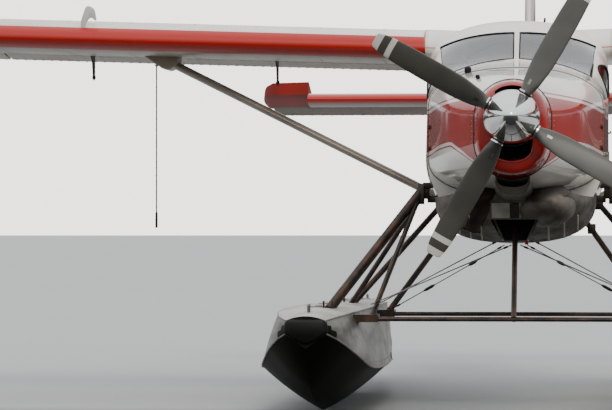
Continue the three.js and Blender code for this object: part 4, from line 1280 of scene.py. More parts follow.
def bent_plate(rows, front=0.004, back=0.011):
    """Points and faces of a plate bent to the skin, between two depths under it."""
    count, tall = len(rows[0]), len(rows)
    points = [p - n * depth for depth in (front, back) for row in rows for p, n in row]
    layer = count * tall
    faces = []
    for j in range(tall - 1):
        for i in range(count - 1):
            a = j * count + i
            faces.append((a, a + 1, a + 1 + count, a + count))
            faces.append(tuple(layer + k for k in (a + count, a + 1 + count, a + 1, a)))
    edge = [*range(count), *(j * count + count - 1 for j in range(1, tall))]
    edge += [(tall - 1) * count + i for i in range(count - 2, -1, -1)]
    edge += [j * count for j in range(tall - 2, 0, -1)]
    for a, b in zip(edge, edge[1:] + edge[:1]):
        faces.append((b, a, layer + a, layer + b))
    return points, faces


class MakeGlass(bpy.types.Operator):
    """Sets the windscreen panes and side windows in their rubber seals"""

    bl_idname = "floatplane.glass"
    bl_label = "Glass and seals"

    def execute(self, context):
        width = context.scene.floatplane_sizes.gasket_width
        plates = [bent_plate(rows(side)) for rows in (pane_grid, quarter_grid) for side in (1, -1)]
        dress("windscreen_panes", plates, "glass", "window_glass", "windscreen", angle=50)
        beads = []
        for side in (1, -1):
            rim = [on_front(side * x, z)[0] for x, z in pane_outline(10)]
            beads.append(tube(rim, width * 0.3, 8, looped=True))
            outline = rounded_outline(*zip(*QUARTER_WINDOW), WINDOW_RADIUS)
            rim = [on_side(side, s, z)[0] for s, z in outline]
            beads.append(tube(rim, width / 2, 8, looped=True))
        for word, side in SIDES.items():
            panes = [side_slab(*window, side, *PANE_DEPTHS) for window in cabin_windows(word)]
            node = f"cabin_glass_{word}"
            dress(f"cabin_panes_{word}", panes, "glass", "window_glass", node, angle=None)
            beads += [seal(*window, side, width) for window in cabin_windows(word)]
        dress("window_seals", beads, "rubber", "panel_trim", angle=60)
        return {"FINISHED"}


# Nose


BOWL_STATIONS = [0.18, 0.183, 0.186, 0.195, 0.205, 0.222, 0.24, 0.28, 0.34, 0.40, 0.455, 0.46]
INTAKE_LOW = [(-0.150, 2.798), (-0.08, 2.824), (0.0, 2.832), (0.08, 2.824), (0.150, 2.798)]
INTAKE_HIGH = [(0.146, 2.836), (0.08, 2.872), (0.0, 2.884), (-0.08, 2.872), (-0.146, 2.836)]
CHIN = [
    (-0.19, 2.42), (-0.168, 2.31), (-0.11, 2.25), (0.0, 2.226), (0.11, 2.25), (0.168, 2.31),
    (0.19, 2.42),
]
COWL_SPAN = (0.4603, 1.7497)
VENTS = [  # on the deck ahead of the windscreen: x, height, skin, width, height of the vent
    (-0.432, 3.10, CABIN_SKIN, 0.062, 0.055), (-0.317, 2.996, NOSE_SKIN, 0.04, 0.036),
]
LATCHES = (2.39, 2.58)


def hoop(sections, station, grow=0.0):
    """One loop of the fuselage at a station."""
    return body_ring(section_at(sections, SECTION_COLUMNS, station), grow)


def rod(radius, start, end, at=HUB, axis=ALONG, sides=40):
    """Points and faces of a plain round bar."""
    return turned([(0, start), (radius, start), (radius, end), (0, end)], at, axis, sides)


class MakeNose(bpy.types.Operator):
    """Builds the engine cowl and the nose bowl with its intake and chin openings"""

    bl_idname = "floatplane.nose"
    bl_label = "Nose"

    def execute(self, context):
        inner = [hoop(COWL_SECTIONS, s, -0.02) for s in np.linspace(*COWL_SPAN, 16)]
        inner[0] = [(x, y - 0.005, z) for x, y, z in inner[0]]
        inner[-1] = [(x, y + 0.005, z) for x, y, z in inner[-1]]
        cowl = loft(body_rings(COWL_SECTIONS, *COWL_SPAN, 0.05))
        # the cowl's inside takes the near-black of painted shade
        room = [solid("inside", loft(inner), "dark")]
        dress("cowl_skin", cowl, "body", "airframe_skin", "engine_cowl", angle=30, tools=room)
        bowl = loft([hoop(BOWL_SECTIONS, s) for s in BOWL_STATIONS])
        slot = curve_through(INTAKE_LOW, 16) + curve_through(INTAKE_HIGH, 16)
        # the cut faces of the slot, the chin and the shaft hole take the near-black of painted shade
        dress("bowl_skin", bowl, "red", "red_paint", "nose_bowl", angle=30, tools=[
            solid("slot", along_extrusion(slot, (0.1, 0.6)), "dark"),
            solid("chin", along_extrusion(curve_through(CHIN, 20), (0.1, 0.6)), "dark"),
            solid("shaft_hole", rod(0.1, -0.1, 0.6, sides=32), "dark"),
        ])
        lip = [(x, place(0.186), z) for x, z in curve_through(CHIN, 40)]
        dress("chin_lip", tube(lip, 0.011, 12), "red", "red_paint", angle=60)
        line = tube(hoop(BOWL_SECTIONS, 0.46, 0.001), 0.004, 6, looped=True)
        dress("bowl_joint_seal", line, "dark", "panel_trim", angle=None)
        line = tube(hoop(COWL_SECTIONS, 1.75, 0.001), 0.005, 6, looped=True)
        dress("cowl_joint_seal", line, "sealant", "panel_trim", angle=None)
        vents = []
        for x, z, skin, wide, tall in VENTS:
            y = cast(skin, (x, place(-1.0), z - 0.02), ALONG)[0].y
            low = (x - wide / 2, y - 0.03, z - tall / 2)
            vents.append(block(low, (x + wide / 2, y + 0.05, z + tall / 2)))
        dress("deck_vents", vents, "rubber", "panel_trim", bevel=(0.014, 3))
        catches = []
        for side in (1, -1):
            for z in LATCHES:
                x, y, _ = on_side(side, 1.70, z, NOSE_SKIN)[0]
                catches.append(block((x - 0.012, y - 0.03, z - 0.022), (x + 0.012, y + 0.03, z + 0.022)))
        dress("cowl_latches", catches, "dark_steel", "strut_metal", bevel=(0.005,))
        engine = frame["nodes"]["engine"].data
        engine.materials.clear()
        engine.materials.append(FINISHES["casting"])
        return {"FINISHED"}


# Underside of the nose


UNDERSIDE = [(1.05, 0.47, 1.985, 1.90), (1.40, 0.64, 1.95, 1.64), (1.7497, 0.73, 1.945, 1.53)]
SWELL = ((0.28, 1.30, 1.87), (0.27, 0.35, 0.20))
SCOOP = [(0.48, 0.150, 2.12, 1.963), (0.70, 0.165, 2.11, 1.945), (1.0497, 0.175, 2.06, 1.905)]
EXHAUST = [(-0.27, 1.05, 2.03), (-0.29, 1.20, 1.90), (-0.33, 1.35, 1.80), (-0.36, 1.50, 1.72)]
EXHAUST_RADIUS = 0.115
OPENING = [(-0.215, 1.74), (-0.08, 1.48), (0.08, 1.48), (0.215, 1.74)]  # x, height
PATCHES = [  # from and to across, how far it stands out, its finish
    ("centre_patch", -0.20, 0.055, 0.002, "pale_sheet"),
    ("centre_channel", -0.04, 0.045, 0.005, "dark_steel"),
]
RIB_PLACES = (-0.60, -0.50, -0.40, -0.30, 0.30, 0.44, 0.56)


def table_at(table, at):
    """The values of a table at one place between its rows."""
    places, *columns = columns_of(table)
    return [monotone(places, column, at) for column in columns]


def hung_ring(table, station, power, steps, grow=0.0):
    """A loop that is flat on top and rounded below, at one station."""
    half, top, low = table_at(table, station)
    half, depth, y = half - grow, top - low - grow, place(station)
    ring = [(-half, y, top)]
    for k in range(-steps + 1, steps):
        x, z = rounded(half, depth, 1 - abs(k) / steps, power)
        ring.append((math.copysign(x, k) if k else 0.0, y, top - z))
    return [*ring, (half, y, top)]


def underside_rings():
    """The sheet under the engine."""
    return [hung_ring(UNDERSIDE, s, 2.6, 14) for s in np.linspace(1.05, 1.7497, 15)]


def scoop_rings(start, end, count, grow=0.0):
    """The intake scoop, or the room in its mouth."""
    return [hung_ring(SCOOP, s, 2.8, 8, grow) for s in np.linspace(start, end, count)]


def nose_room(start, end):
    """The room that the cowl takes up."""
    # the faces that this cuts take the near-black of painted shade
    return solid("nose_room", loft(body_rings(COWL_SECTIONS, start, end, 0.08, 0.0004)), "dark")


class MakeUnderside(bpy.types.Operator):
    """Builds the sheet fairing under the engine, the scoop, the exhaust, ribs, struts and drain"""

    bl_idname = "floatplane.underside"
    bl_label = "Underside of the nose"

    def execute(self, context):
        # the belly sheet's finish is darkened as painted shade under the nose
        fairing = solid("belly_sheet", loft(underside_rings()), "bare")
        (cx, cs, cz), (rx, ry, rz) = SWELL
        half_round = [(math.sin(a), -math.cos(a)) for a in (math.pi * k / 20 for k in range(21))]
        ball, faces = turned(half_round, (0, 0, 0), UP, 32)
        ball = [(cx + x * rx, place(cs) + y * ry, cz + z * rz) for x, y, z in ball]
        carve(fairing, [solid("swell", (ball, faces), "bare")], "UNION")
        path = [at_place(p) for p in curve_through(EXHAUST, 18)]
        before, after = path[0] + (path[0] - path[1]) * 2, path[-1] + (path[-1] - path[-2]) * 2
        # the cut faces of the room, the opening and the pipe's room take the near-black of painted shade
        carve(fairing, [
            nose_room(0.9, 1.76),
            solid("opening", along_extrusion(OPENING, (0.9, 1.68)), "dark"),
            solid("pipe_room", tube([before, *path, after], EXHAUST_RADIUS + 0.0005, 28), "dark"),
        ])
        finish_piece(fairing, "airframe_skin", "belly_fairing", angle=30)
        # the bore is lined with soot and painted shade
        bore = [solid("bore", tube([*path[4:], after], EXHAUST_RADIUS - 0.009, 28), "soot")]
        pipe = tube(path, EXHAUST_RADIUS, 28)
        dress("exhaust_pipe", pipe, "exhaust", "engine_block", "exhaust", tools=bore)
        self.scoop()
        self.small_parts()
        return {"FINISHED"}

    def scoop(self):
        """The intake scoop with its rolled lip, painted on its front."""
        mouth = scoop_rings(0.48, 0.80, 5, 0.012)
        mouth[0] = [(x, y - 0.01, z) for x, y, z in mouth[0]]
        mouth = [[(x, y, 2.11 - (2.11 - z) * 0.68) for x, y, z in ring] for ring in mouth]
        scoop = solid("scoop_skin", loft(scoop_rings(0.48, 1.0497, 10)), "bare")
        # the scoop's mouth and its cut faces take the near-black of painted shade
        carve(scoop, [nose_room(0.47, 1.2), solid("mouth", loft(mouth), "dark")])
        scoop.data.materials.append(FINISHES["olive"])
        for polygon in scoop.data.polygons:
            if polygon.normal.y < -0.7 and polygon.center.y < place(0.5):
                polygon.material_index = len(scoop.data.materials) - 1
        finish_piece(scoop, "airframe_skin", "intake_scoop", angle=30)
        lip = hung_ring(SCOOP, 0.48, 2.8, 8)[1:-1]
        dress("scoop_lip", tube(lip, 0.009, 10), "olive", "airframe_skin", angle=60)

    def small_parts(self):
        """The patch, the pressed ribs, the V of thin struts behind the opening, and the drain."""
        tree = skin_tree(underside_rings())
        for name, first, last, lift, finish_name in PATCHES:
            rows = [
                [cast(tree, (x, place(0.5), z), ALONG) for x in np.linspace(first, last, 8)]
                for z in np.linspace(1.755, 1.885, 6)
            ]
            dress(name, bent_plate(rows, -lift, 0.004), finish_name, "airframe_skin")
        beads = []
        for x in RIB_PLACES:
            line = [cast(tree, (x, place(0.5), 1.56 + 0.22 * k / 12), ALONG)[0] for k in range(13)]
            line = [spot for spot in line if spot]
            if len(line) > 3:
                beads.append(tube(line, 0.008, 8))
        dress("fairing_ribs", beads, "rib", "airframe_skin", angle=60)
        ends = [(0.20, 1.66, 1.76), (0.11, 1.66, 1.55)]
        struts = [tube([at_place((side * x, s, z)) for x, s, z in ends], 0.012, 10) for side in (1, -1)]
        dress("opening_struts", struts, "rib", "strut_metal", angle=50)
        drain = [at_place((0.10, 1.70, z)) for z in (1.56, 1.515)]
        dress("drain_stub", tube(drain, [0.022, 0.016], 12), "red", "red_paint", angle=50)


# Propeller


BLADE_ANGLES = (60, 150, 240, 330)
BLADE_STATIONS = [  # distance from the hub, half the chord, half the thickness, pitch in degrees
    (0.060, 0.045, 0.045, 0), (0.200, 0.050, 0.046, 10), (0.255, 0.055, 0.038, 20),
    (0.340, 0.085, 0.032, 30), (0.560, 0.108, 0.022, 24), (0.900, 0.105, 0.015, 18),
    (1.230, 0.088, 0.010, 14), (1.310, 0.070, 0.008, 13), (1.345, 0.038, 0.006, 13),
]
SPINNER_PROFILE = [  # radius, and distance along the shaft
    (0.0, -0.470), (0.030, -0.460), (0.096, -0.385), (0.165, -0.262), (0.214, -0.128), (0.240, 0.0),
]
SPINNER_BACK = 0.11

PLATE_REACHES = (0.338, 0.334, 0.363, 0.364)
PLATE_PITCH = math.radians(29)


def towards_blade(points, degrees):
    """Turns a form drawn along +X to a blade's direction about the hub, and puts it there."""
    c, s = math.cos(math.radians(degrees)), math.sin(math.radians(degrees))
    return [(HUB.x + p[0] * c - p[2] * s, HUB.y + p[1], HUB.z + p[0] * s + p[2] * c) for p in points]


def on_blades(parts):
    """A form drawn along +X, once for each blade."""
    points, faces = parts
    return [(towards_blade(points, degrees), faces) for degrees in BLADE_ANGLES]


def blade_form(sides):
    """Points and faces of one blade along +X, with a rounded tip."""
    radii = [row[0] for row in BLADE_STATIONS]
    (shoulder, wide, *_), (end, narrow, *_) = BLADE_STATIONS[-2:]
    rings = []
    for r in [*np.linspace(radii[0], shoulder, 40), *np.linspace(shoulder, end, 8)[1:]]:
        half, thick, pitch = table_at(BLADE_STATIONS, r)
        if r > shoulder:
            half = narrow + (wide - narrow) * math.sqrt(1 - ((r - shoulder) / (end - shoulder)) ** 2)
        turn = math.radians(pitch)
        ring = []
        for i in range(sides):
            angle = 2 * math.pi * i / sides
            u = half * math.cos(angle)
            w = thick * math.sin(angle) * (1 + 0.25 * math.cos(angle) * min(1, max(0, (r - 0.3) / 0.1)))
            c, s = math.cos(turn), math.sin(turn)
            ring.append((r, u * s + w * c, u * c - w * s))
        rings.append(ring)
    return loft(rings)


class MakePropeller(bpy.types.Operator):
    """Builds the four blades, the hub and the polished spinner with its collars"""

    bl_idname = "floatplane.propeller"
    bl_label = "Propeller"

    def execute(self, context):
        rotor = on_blades(blade_form(context.scene.floatplane_sizes.blade_sides))
        rotor += [rod(0.11, -0.06, 0.06), rod(0.07, 0.0, 0.33, sides=32)]
        dress("propeller_blades", rotor, "blade", "propeller_blade", "propeller", body="propeller")
        radii, alongs = columns_of(SPINNER_PROFILE)
        length = alongs[1] - alongs[0]
        profile = [(0.0, alongs[0])]
        profile += [(radii[1] * math.sqrt(k / 6), alongs[0] + length * k / 6) for k in range(1, 6)]
        profile += [(monotone(alongs, radii, a), a) for a in np.linspace(alongs[1], alongs[-1], 30)]
        edge, back = radii[-1], SPINNER_BACK
        profile += [(edge, 0.066), (edge - 0.002, 0.069), (edge - 0.002, 0.074), (edge, 0.077)]
        profile += [(edge, back - 0.006), (edge - 0.006, back), (0.0, back)]
        shell = turned(profile, HUB, ALONG, 96)
        post = rod(0.066, 0.115, 0.4, (0, 0, 0), (1, 0, 0), 32)
        # the spinner's blade slots and hub hole are lined with the near-black of painted shade
        rooms = [
            solid("blade_holes", on_blades(post), "dark"),
            solid("hub_room", rod(0.112, -0.062, 0.2), "dark"),
        ]
        turning = {"body": "propeller", "angle": 30}
        dress("spinner_shell", shell, "chrome", "spinner_chrome", "spinner", tools=rooms, **turning)
        ring = [(0.05, 0.236), (0.060, 0.238), (0.061, 0.250), (0.05, 0.252)]
        ring = turned(ring, (0, 0, 0), (1, 0, 0), 32)
        dress("blade_collars", on_blades(ring), "chrome", "spinner_chrome", **turning)
        plates = []
        c, s = math.cos(PLATE_PITCH), math.sin(PLATE_PITCH)
        corners, faces = block((-0.024, -0.034, -0.014), (0.024, -0.028, 0.014))
        for degrees, reach in zip(BLADE_ANGLES, PLATE_REACHES):
            plate = [(reach + x, u * s + w * c, u * c - w * s) for x, w, u in corners]
            plates.append((towards_blade(plate, degrees), faces))
        dress("blade_plates", plates, "steel", "strut_metal", body="propeller", angle=None)
        return {"FINISHED"}


# Wings


STRUT_FOOT = (0.74, 3.85, 1.949)
STRUT_HEAD = (3.56, 3.85, 3.362)
STRUT_FAIRING = [(3.70, 3.48), (3.70, 3.372), (3.51, 3.24), (3.44, 3.222), (3.35, 3.275), (3.35, 3.48)]
ROOT_SLEEVES = [  # from and to along the span, and the finish
    ("root_fairing", 0.50, 0.862, "white"), ("root_strip", 0.862, 0.888, "fillet"),
    ("root_edge", 0.888, 0.905, "rudder"),
]
ARM_OUTLINE = [  # aft of the cove's front, and above the skin
    (-0.42, 0), (-0.012, 0), (-0.016, -0.26), (-0.028, -0.29), (-0.05, -0.30), (-0.075, -0.26),
    (-0.13, -0.12), (-0.2, -0.075),
]
BALL = [(0, -0.02), (0.014, -0.017), (0.022, -0.008), (0.022, 0.008), (0.014, 0.017), (0, 0.02)]


def cove_start(foil, hinge):
    """How far behind the leading edge the gap in front of a hinged surface starts."""
    return hinge * foil["chord"] - hinged_points(foil, hinge)[2] - SWING_GAP


def flap_ring(x, lift=0.0):
    """One station of a flap or aileron as it hangs when parked."""
    points, centre, _ = hinged_points(WING, FLAP_HINGE, lift)
    return wing_ring(turn_about(points, centre, -FLAP_DROOP), x)


class MakeWings(bpy.types.Operator):
    """Builds both wings with their hinge arms and strut fairings, and the struts"""

    bl_idname = "floatplane.wings"
    bl_label = "Wings"

    def execute(self, context):
        spans, shares = columns_of(WING_TIP)
        whole = foil_points(WING, 0, 1, 26)
        places = [*np.linspace(spans[0], spans[1], 12), *np.linspace(spans[1], spans[-1], 10)[1:]]
        rings = [wing_ring(whole, x, monotone(spans, shares, x)) for x in places]
        rings.append(wing_ring(whole, spans[-1] + 0.007, 0.36))
        cove = place(WING["front"]) + cove_start(WING, FLAP_HINGE)
        collar = foil_points(WING, 0, 0.74, 26, 0.006)
        for word, side in SIDES.items():
            coves = [
                sided(block((inner - SWING_GAP, cove, 3.0), (outer + SWING_GAP, cove + 1.0, 4.2)), side)
                for inner, outer in (FLAP_SPAN, AILERON_SPAN)
            ]
            body = loft(body_rings(CABIN_SECTIONS, 2.9, 5.5, 0.08, 0.0005))
            cuts = [solid("coves", coves, "control"), solid("body_room", body, "wing")]
            skin, node = sided(loft(rings), side), f"wing_{word}"
            dress(f"wing_skin_{word}", skin, "wing", "red_paint", node, angle=30, tools=cuts)
            for name, inner, outer, finish_name in ROOT_SLEEVES:
                sleeve = sided(loft([wing_ring(collar, x) for x in (inner, outer)]), side)
                dress(f"{name}_{word}", sleeve, finish_name, "white_paint", angle=30)
            self.under_wing(word, side, cove)
        return {"FINISHED"}

    def under_wing(self, word, side, cove):
        """The hinge arms, the strut with its fairing, and the lug that a mooring rope hangs from."""
        arms, balls = [], []
        for x in HINGE_ARM_SPANS:
            under = wing_height(x) - 0.04
            outline = [(cove + y, under + z) for y, z in ARM_OUTLINE]
            arms.append(sided(side_extrusion(outline, x - 0.009, x + 0.009), side))
            balls.append(sided(turned(BALL, (x, cove - 0.042, under - 0.27), (1, 0, 0), 16), side))
        dress(f"hinge_arms_{word}", arms + balls, "dark_steel", "strut_metal", bevel=(0.002, 1))
        station = STRUT_FOOT[1]
        hood = sided(along_extrusion(STRUT_FAIRING, (station - 0.13, station + 0.21)), side)
        dress(f"strut_fairing_{word}", hood, "control", "white_paint", bevel=(0.02, 3))
        bar = sided(streamlined(at_place(STRUT_FOOT), at_place(STRUT_HEAD), 0.08, 0.21, 32), side)
        node = f"wing_strut_{word}"
        dress(f"wing_strut_skin_{word}", bar, "wing_strut", "airframe_skin", node, angle=30)
        x, station = -ROPE_X, ROPE_STATION
        lug = slab((x - 0.006, station - 0.025, ROPE_TOP), (x + 0.006, station + 0.06, ROPE_TOP + 0.14))
        circle = arc((x, ROPE_TOP + 0.018), 0.017, 0.017, 0, 360, 16)[:-1]
        ring = tube([(x, place(station), z) for x, z in circle], 0.004, 8, looped=True)
        dress(f"mooring_lug_{word}", [sided(lug, side), sided(ring, side)], "steel", "strut_metal")


class MakeFlaps(bpy.types.Operator):
    """Builds the flaps and ailerons with the beads pressed into their skins"""

    bl_idname = "floatplane.flaps"
    bl_label = "Flaps and ailerons"

    def execute(self, context):
        for word, side in SIDES.items():
            for name, span in (("flap", FLAP_SPAN), ("aileron", AILERON_SPAN)):
                parts, node = sided(loft(ribbed(flap_ring, *span)), side), f"{name}_{word}"
                dress(f"{name}_skin_{word}", parts, "control", "airframe_skin", node, body=node, angle=30)
        return {"FINISHED"}


# Tail


HORN_SPANS = [(2.664, 1.0), (3.10, 0.95), (3.19, 0.78), (3.22, 0.6), (3.25, 0.25)]
FIN_OUTLINE = [  # height, and the station of its front
    (3.20, 8.30), (3.34, 8.72), (3.72, 9.50), (4.69, 10.50), (4.75, 10.70),
]
FIN_PROFILE = [(0, 0.004), (0.02, 0.012), (0.06, 0.022), (0.25, 0.050), (0.6, 0.062), (1, 0.058)]
RUDDER_ROWS = [(2.76, 0.55), (3.00, 0.85), (4.50, 0.80), (FIN_TOP, 0.62)]  # height, chord


def elevator_ring(x, lift=0.0):
    """One station of an elevator, at its lower stop as parked."""
    points, centre, _ = hinged_points(TAIL, TAIL_HINGE, lift)
    return tail_ring(turn_about(points, centre, -ELEVATOR_DROOP), x)


def horn_rings():
    """The balance horn at the elevator's tip."""
    _, centre, _ = hinged_points(TAIL, TAIL_HINGE)
    outline = turn_about(foil_points(TAIL, 0.22, 0.75, 10), centre, -ELEVATOR_DROOP)
    rings = []
    for x, scale in HORN_SPANS:
        moved = [
            (centre[0] + (y - centre[0]) * scale, centre[1] + (z - centre[1]) * scale)
            for y, z in outline
        ]
        rings.append(tail_ring(moved, x))
    return rings


class MakeTail(bpy.types.Operator):
    """Builds the tailplane, elevators with horns, fin and rudder"""

    bl_idname = "floatplane.tail"
    bl_label = "Tail"

    def execute(self, context):
        _, _, radius = hinged_points(TAIL, TAIL_HINGE)
        back = TAIL_HINGE - (radius + SWING_GAP) / TAIL["chord"]
        outline = foil_points(TAIL, 0, back, 22)
        plane = loft([tail_ring(outline, x) for x in np.linspace(-TAIL_HALF_SPAN, TAIL_HALF_SPAN, 15)])
        dress("tailplane_skin", plane, "tail", "red_paint", "stabilizer", angle=30)
        swing = [(0.0, RUDDER_HINGE - 0.25), (0.7, 12.6), (-0.7, 12.6)]
        for word, side in SIDES.items():
            skin = sided(loft(ribbed(elevator_ring, 0.16, 3.15, 0.12)), side)
            surface = solid(f"elevator_skin_{word}", skin, "tail_control")
            carve(surface, [solid("horn", sided(loft(horn_rings()), side), "horn")], "UNION")
            room = loft([[(x, place(s), z) for x, s in swing] for z in (2.5, 4.0)])
            carve(surface, [solid("rudder_room", room, "tail_control")])
            finish_piece(surface, "airframe_skin", f"elevator_{word}", body="elevators", angle=30)
        dress("fin_skin", loft(self.fin_rings()), "fin", "white_paint", "fin", angle=30)
        rudder = loft(self.rudder_rings())
        dress("rudder_skin", rudder, "rudder", "red_paint", "rudder", body="rudder", angle=30)
        return {"FINISHED"}

    def fin_rings(self):
        """Level loops up the fin, which is thinner near its top."""
        heights, fronts = columns_of(FIN_OUTLINE)
        shares, depths = columns_of(FIN_PROFILE)
        back = RUDDER_HINGE - 0.07
        rings = []
        for z in np.linspace(heights[0], heights[-1], 28):
            front = monotone(heights, fronts, z)
            thin = 1.0 if z < FIN_TOP - 0.25 else 1.0 - 0.3 * (z - FIN_TOP + 0.25) / 0.25
            half = [(s, monotone(shares, depths, s) * thin) for s in (k / 14 for k in range(15))]
            loop = [(x, s) for s, x in half] + [(-x, s) for s, x in reversed(half)]
            rings.append([(x, place(front + s * (back - front)), z) for x, s in loop])
        return rings

    def rudder_rings(self):
        """Level loops up the rudder, with a round nose about its hinge."""
        levels, reaches = columns_of(RUDDER_ROWS)
        nose = [
            (0.052 * math.sin(a), RUDDER_HINGE - 0.052 * math.cos(a))
            for a in (math.radians(-90 + 180 * k / 10) for k in range(11))
        ]
        rings = []
        for z in np.linspace(levels[0], levels[-1], 26):
            end = RUDDER_HINGE + (12.40 - RUDDER_HINGE) * monotone(levels, reaches, z) / 0.85
            rings.append([(x, place(s), z) for x, s in [*nose, (0.005, end), (-0.005, end)]])
        return rings


# Floats


BUMPER = [(0.18, 0.892), (0.196, 0.763), (0.0, 0.66), (-0.196, 0.763), (-0.18, 0.892)]
CLEATS = [(0.35, 0.94), (7.7, 0.88)]
HATCHES = (1.35, 2.5, 4.3, 5.6, 6.7)


def bumper_rings():
    """The rubber bumper over the bow, rounded at its front."""
    rings = []
    for along, scale in ((0.0, 0.78), (0.008, 0.88), (0.025, 0.96), (0.06, 1.0), (0.13, 1.0)):
        y = place(FLOAT_BOW + along)
        rings.append([(x * scale, y, 0.79 + (z - 0.79) * scale) for x, z in round_corners(BUMPER, 0.05)])
    return rings


def round_corners(outline, radius, steps=5):
    """An outline with each corner replaced by a short curve."""
    rounded_line = []
    for k, corner in enumerate(outline):
        corner = Vector(corner)
        before = Vector(outline[k - 1]) - corner
        after = Vector(outline[(k + 1) % len(outline)]) - corner
        a = corner + before.normalized() * min(radius, before.length / 2.2)
        b = corner + after.normalized() * min(radius, after.length / 2.2)
        for j in range(steps + 1):
            t = j / steps
            rounded_line.append(tuple(a * (1 - t) ** 2 + corner * 2 * t * (1 - t) + b * t**2))
    return rounded_line


def shifted(parts, dx):
    """The same points and faces, moved across."""
    points, faces = parts
    return [(p[0] + dx, p[1], p[2]) for p in points], faces


CLEAT_BAR = [(-0.085, 0.066), (-0.05, 0.061), (0.05, 0.061), (0.085, 0.066)]  # along, above the deck
HATCH_LID = [(0, 0), (0.1, 0), (0.1, 0.006), (0.09, 0.01), (0.03, 0.01), (0.03, 0.016), (0, 0.016)]


class MakeFloats(bpy.types.Operator):
    """Builds the two floats with their bumpers, keels, hatches and cleats, and the water rudders"""

    bl_idname = "floatplane.floats"
    bl_label = "Floats"

    def execute(self, context):
        for word, side in SIDES.items():
            dx = side * FLOAT_X
            self.hull(word, dx)
            bumper = shifted(loft(bumper_rings()), dx)
            dress(f"bow_bumper_{word}", bumper, "rubber", "grip_rubber", angle=35)
            dress(f"float_hardware_{word}", self.hardware(dx), "steel", "strut_metal")
            strips = []
            for sections in (FORE_SECTIONS, AFT_SECTIONS):
                start, end = sections[0][0], sections[-1][0]
                rows = [
                    section_at(sections, FLOAT_COLUMNS, along)
                    for along in np.linspace(start + 0.02, end, 40)
                ]
                for sign in (1, -1):
                    for key, drop, radius in (("chine", 0.0, 0.009), ("gunwale", 0.006, 0.008)):
                        line = [
                            (sign * (s[f"{key}_half"] + 0.002) + dx, FLOAT_BOW + s["along"], s[key] - drop)
                            for s in rows
                        ]
                        strips.append(tube([at_place(spot) for spot in line], radius, 6))
            dress(f"float_rails_{word}", strips, "rail", "float_skin", angle=50)
            node = f"water_rudder_{word}"
            finish_piece(copy_of(node, "alclad"), "float_skin", node, body=node, bevel=(0.003,))
        return {"FINISHED"}

    def hull(self, word, dx):
        """One float: a near-black bottom below its chines, which is painted shade, bare flanks and a pale
        deck.
        """
        along_rows, _, chines, *_ = columns_of(FORE_SECTIONS[:-1] + AFT_SECTIONS)
        hull = solid(f"float_hull_{word}", shifted(loft(float_rings(FORE_SECTIONS, 0.08)), dx), "alclad")
        aft_rings = float_rings(AFT_SECTIONS, 0.12)
        aft_rings[0] = [(x, y - 0.002, z) for x, y, z in aft_rings[0]]
        carve(hull, [solid("aft", shifted(loft(aft_rings), dx), "alclad")], "UNION")
        hull.data.materials.clear()
        for finish_name in ("alclad", "bottom", "deck"):
            hull.data.materials.append(FINISHES[finish_name])
        # faces below the chines, and at the bow, that don't look up take the near-black of painted shade
        for polygon in hull.data.polygons:
            along = polygon.center.y - place(FLOAT_BOW)
            chine = monotone(along_rows, chines, along)
            low = polygon.center.z < chine - 0.002 and abs(polygon.center.x - dx) < 0.52
            if (low or along < 0.2) and polygon.normal.z < 0.1:
                polygon.material_index = 1
            else:
                polygon.material_index = 2 if polygon.normal.z > 0.8 else 0
        finish_piece(hull, "float_skin", f"float_{word}", angle=28)

    def hardware(self, dx):
        """The cleats, the hatch lids and the stern lugs of one float."""
        parts = []
        for along, foot in CLEATS:
            y = place(FLOAT_BOW + along)
            for dy in (-0.035, 0.035):
                parts.append(tube([(dx, y + dy, foot - 0.03), (dx, y + dy, foot + 0.06)], 0.012, 12))
            bar = [(dx, y + dy, foot + dz) for dy, dz in CLEAT_BAR]
            parts.append(tube(bar, [0.007, 0.011, 0.011, 0.007], 12))
        for along in HATCHES:
            sections = FORE_SECTIONS if along < FLOAT_STEP else AFT_SECTIONS
            top = section_at(sections, FLOAT_COLUMNS, along)["gunwale"] + 0.033
            parts.append(turned(HATCH_LID, (dx, place(FLOAT_BOW + along), top), UP, 32))
        stern, hinge = place(FLOAT_BOW + 8.6), place(FLOAT_BOW + 8.635)
        for low, high in ((0.538, 0.56), (0.79, 0.812)):
            parts.append(block((dx - 0.028, stern - 0.04, low), (dx + 0.028, hinge + 0.026, high)))
        return parts


# Float struts


FRONT_FITTING = (0.88, 2.2, 2.0)
FRONT_BARS = [((1.644, 1.0, 0.93), 0.09, 0.13), ((1.26, 1.0, 0.87), 0.048, 0.08)]
REAR_BAR = ((1.64, 3.4, 0.89), (0.70, 4.25, 1.989), 0.058, 0.10)
INNER_BAR = ((1.25, 3.4, 0.87), (0.64, 4.15, 1.74), 0.058, 0.09)
DIAGONAL_BAR = ((1.64, 3.25, 0.89), (0.865, 2.262, 1.98), 0.05, 0.08)
SPREADERS = {"spreader_front": (0.87, 0.863), "spreader_rear": (3.33, 0.843)}
CENTRE_POST = ((0, 0.87, 0.863), (0, 1.65, 1.78), 0.05, 0.08)
FITTINGS = [  # blocks where the front struts meet the fuselage: x, station, height at two corners
    ((0.80, 2.13, 1.935), (0.905, 2.27, 2.075)), ((0.70, 2.16, 1.90), (0.82, 2.25, 1.965)),
    ((0.845, 2.10, 1.885), (0.895, 2.145, 2.06)), ((0.76, 2.12, 2.03), (0.86, 2.16, 2.085)),
]
DECK_FEET = [(1.644, 1.0, 0.93), (1.64, 3.33, 0.915)]
REAR_HEADS = [(0.775, 4.17, 1.90), (0.70, 4.07, 1.66)]
BOLTS = [(0.906, s, z) for z in (1.97, 2.04) for s in (2.165, 2.235)]


def around(centre, low, high):
    """A box given by how far its corners lie from a centre."""
    return block(*([c + d for c, d in zip(centre, corner)] for corner in (low, high)))


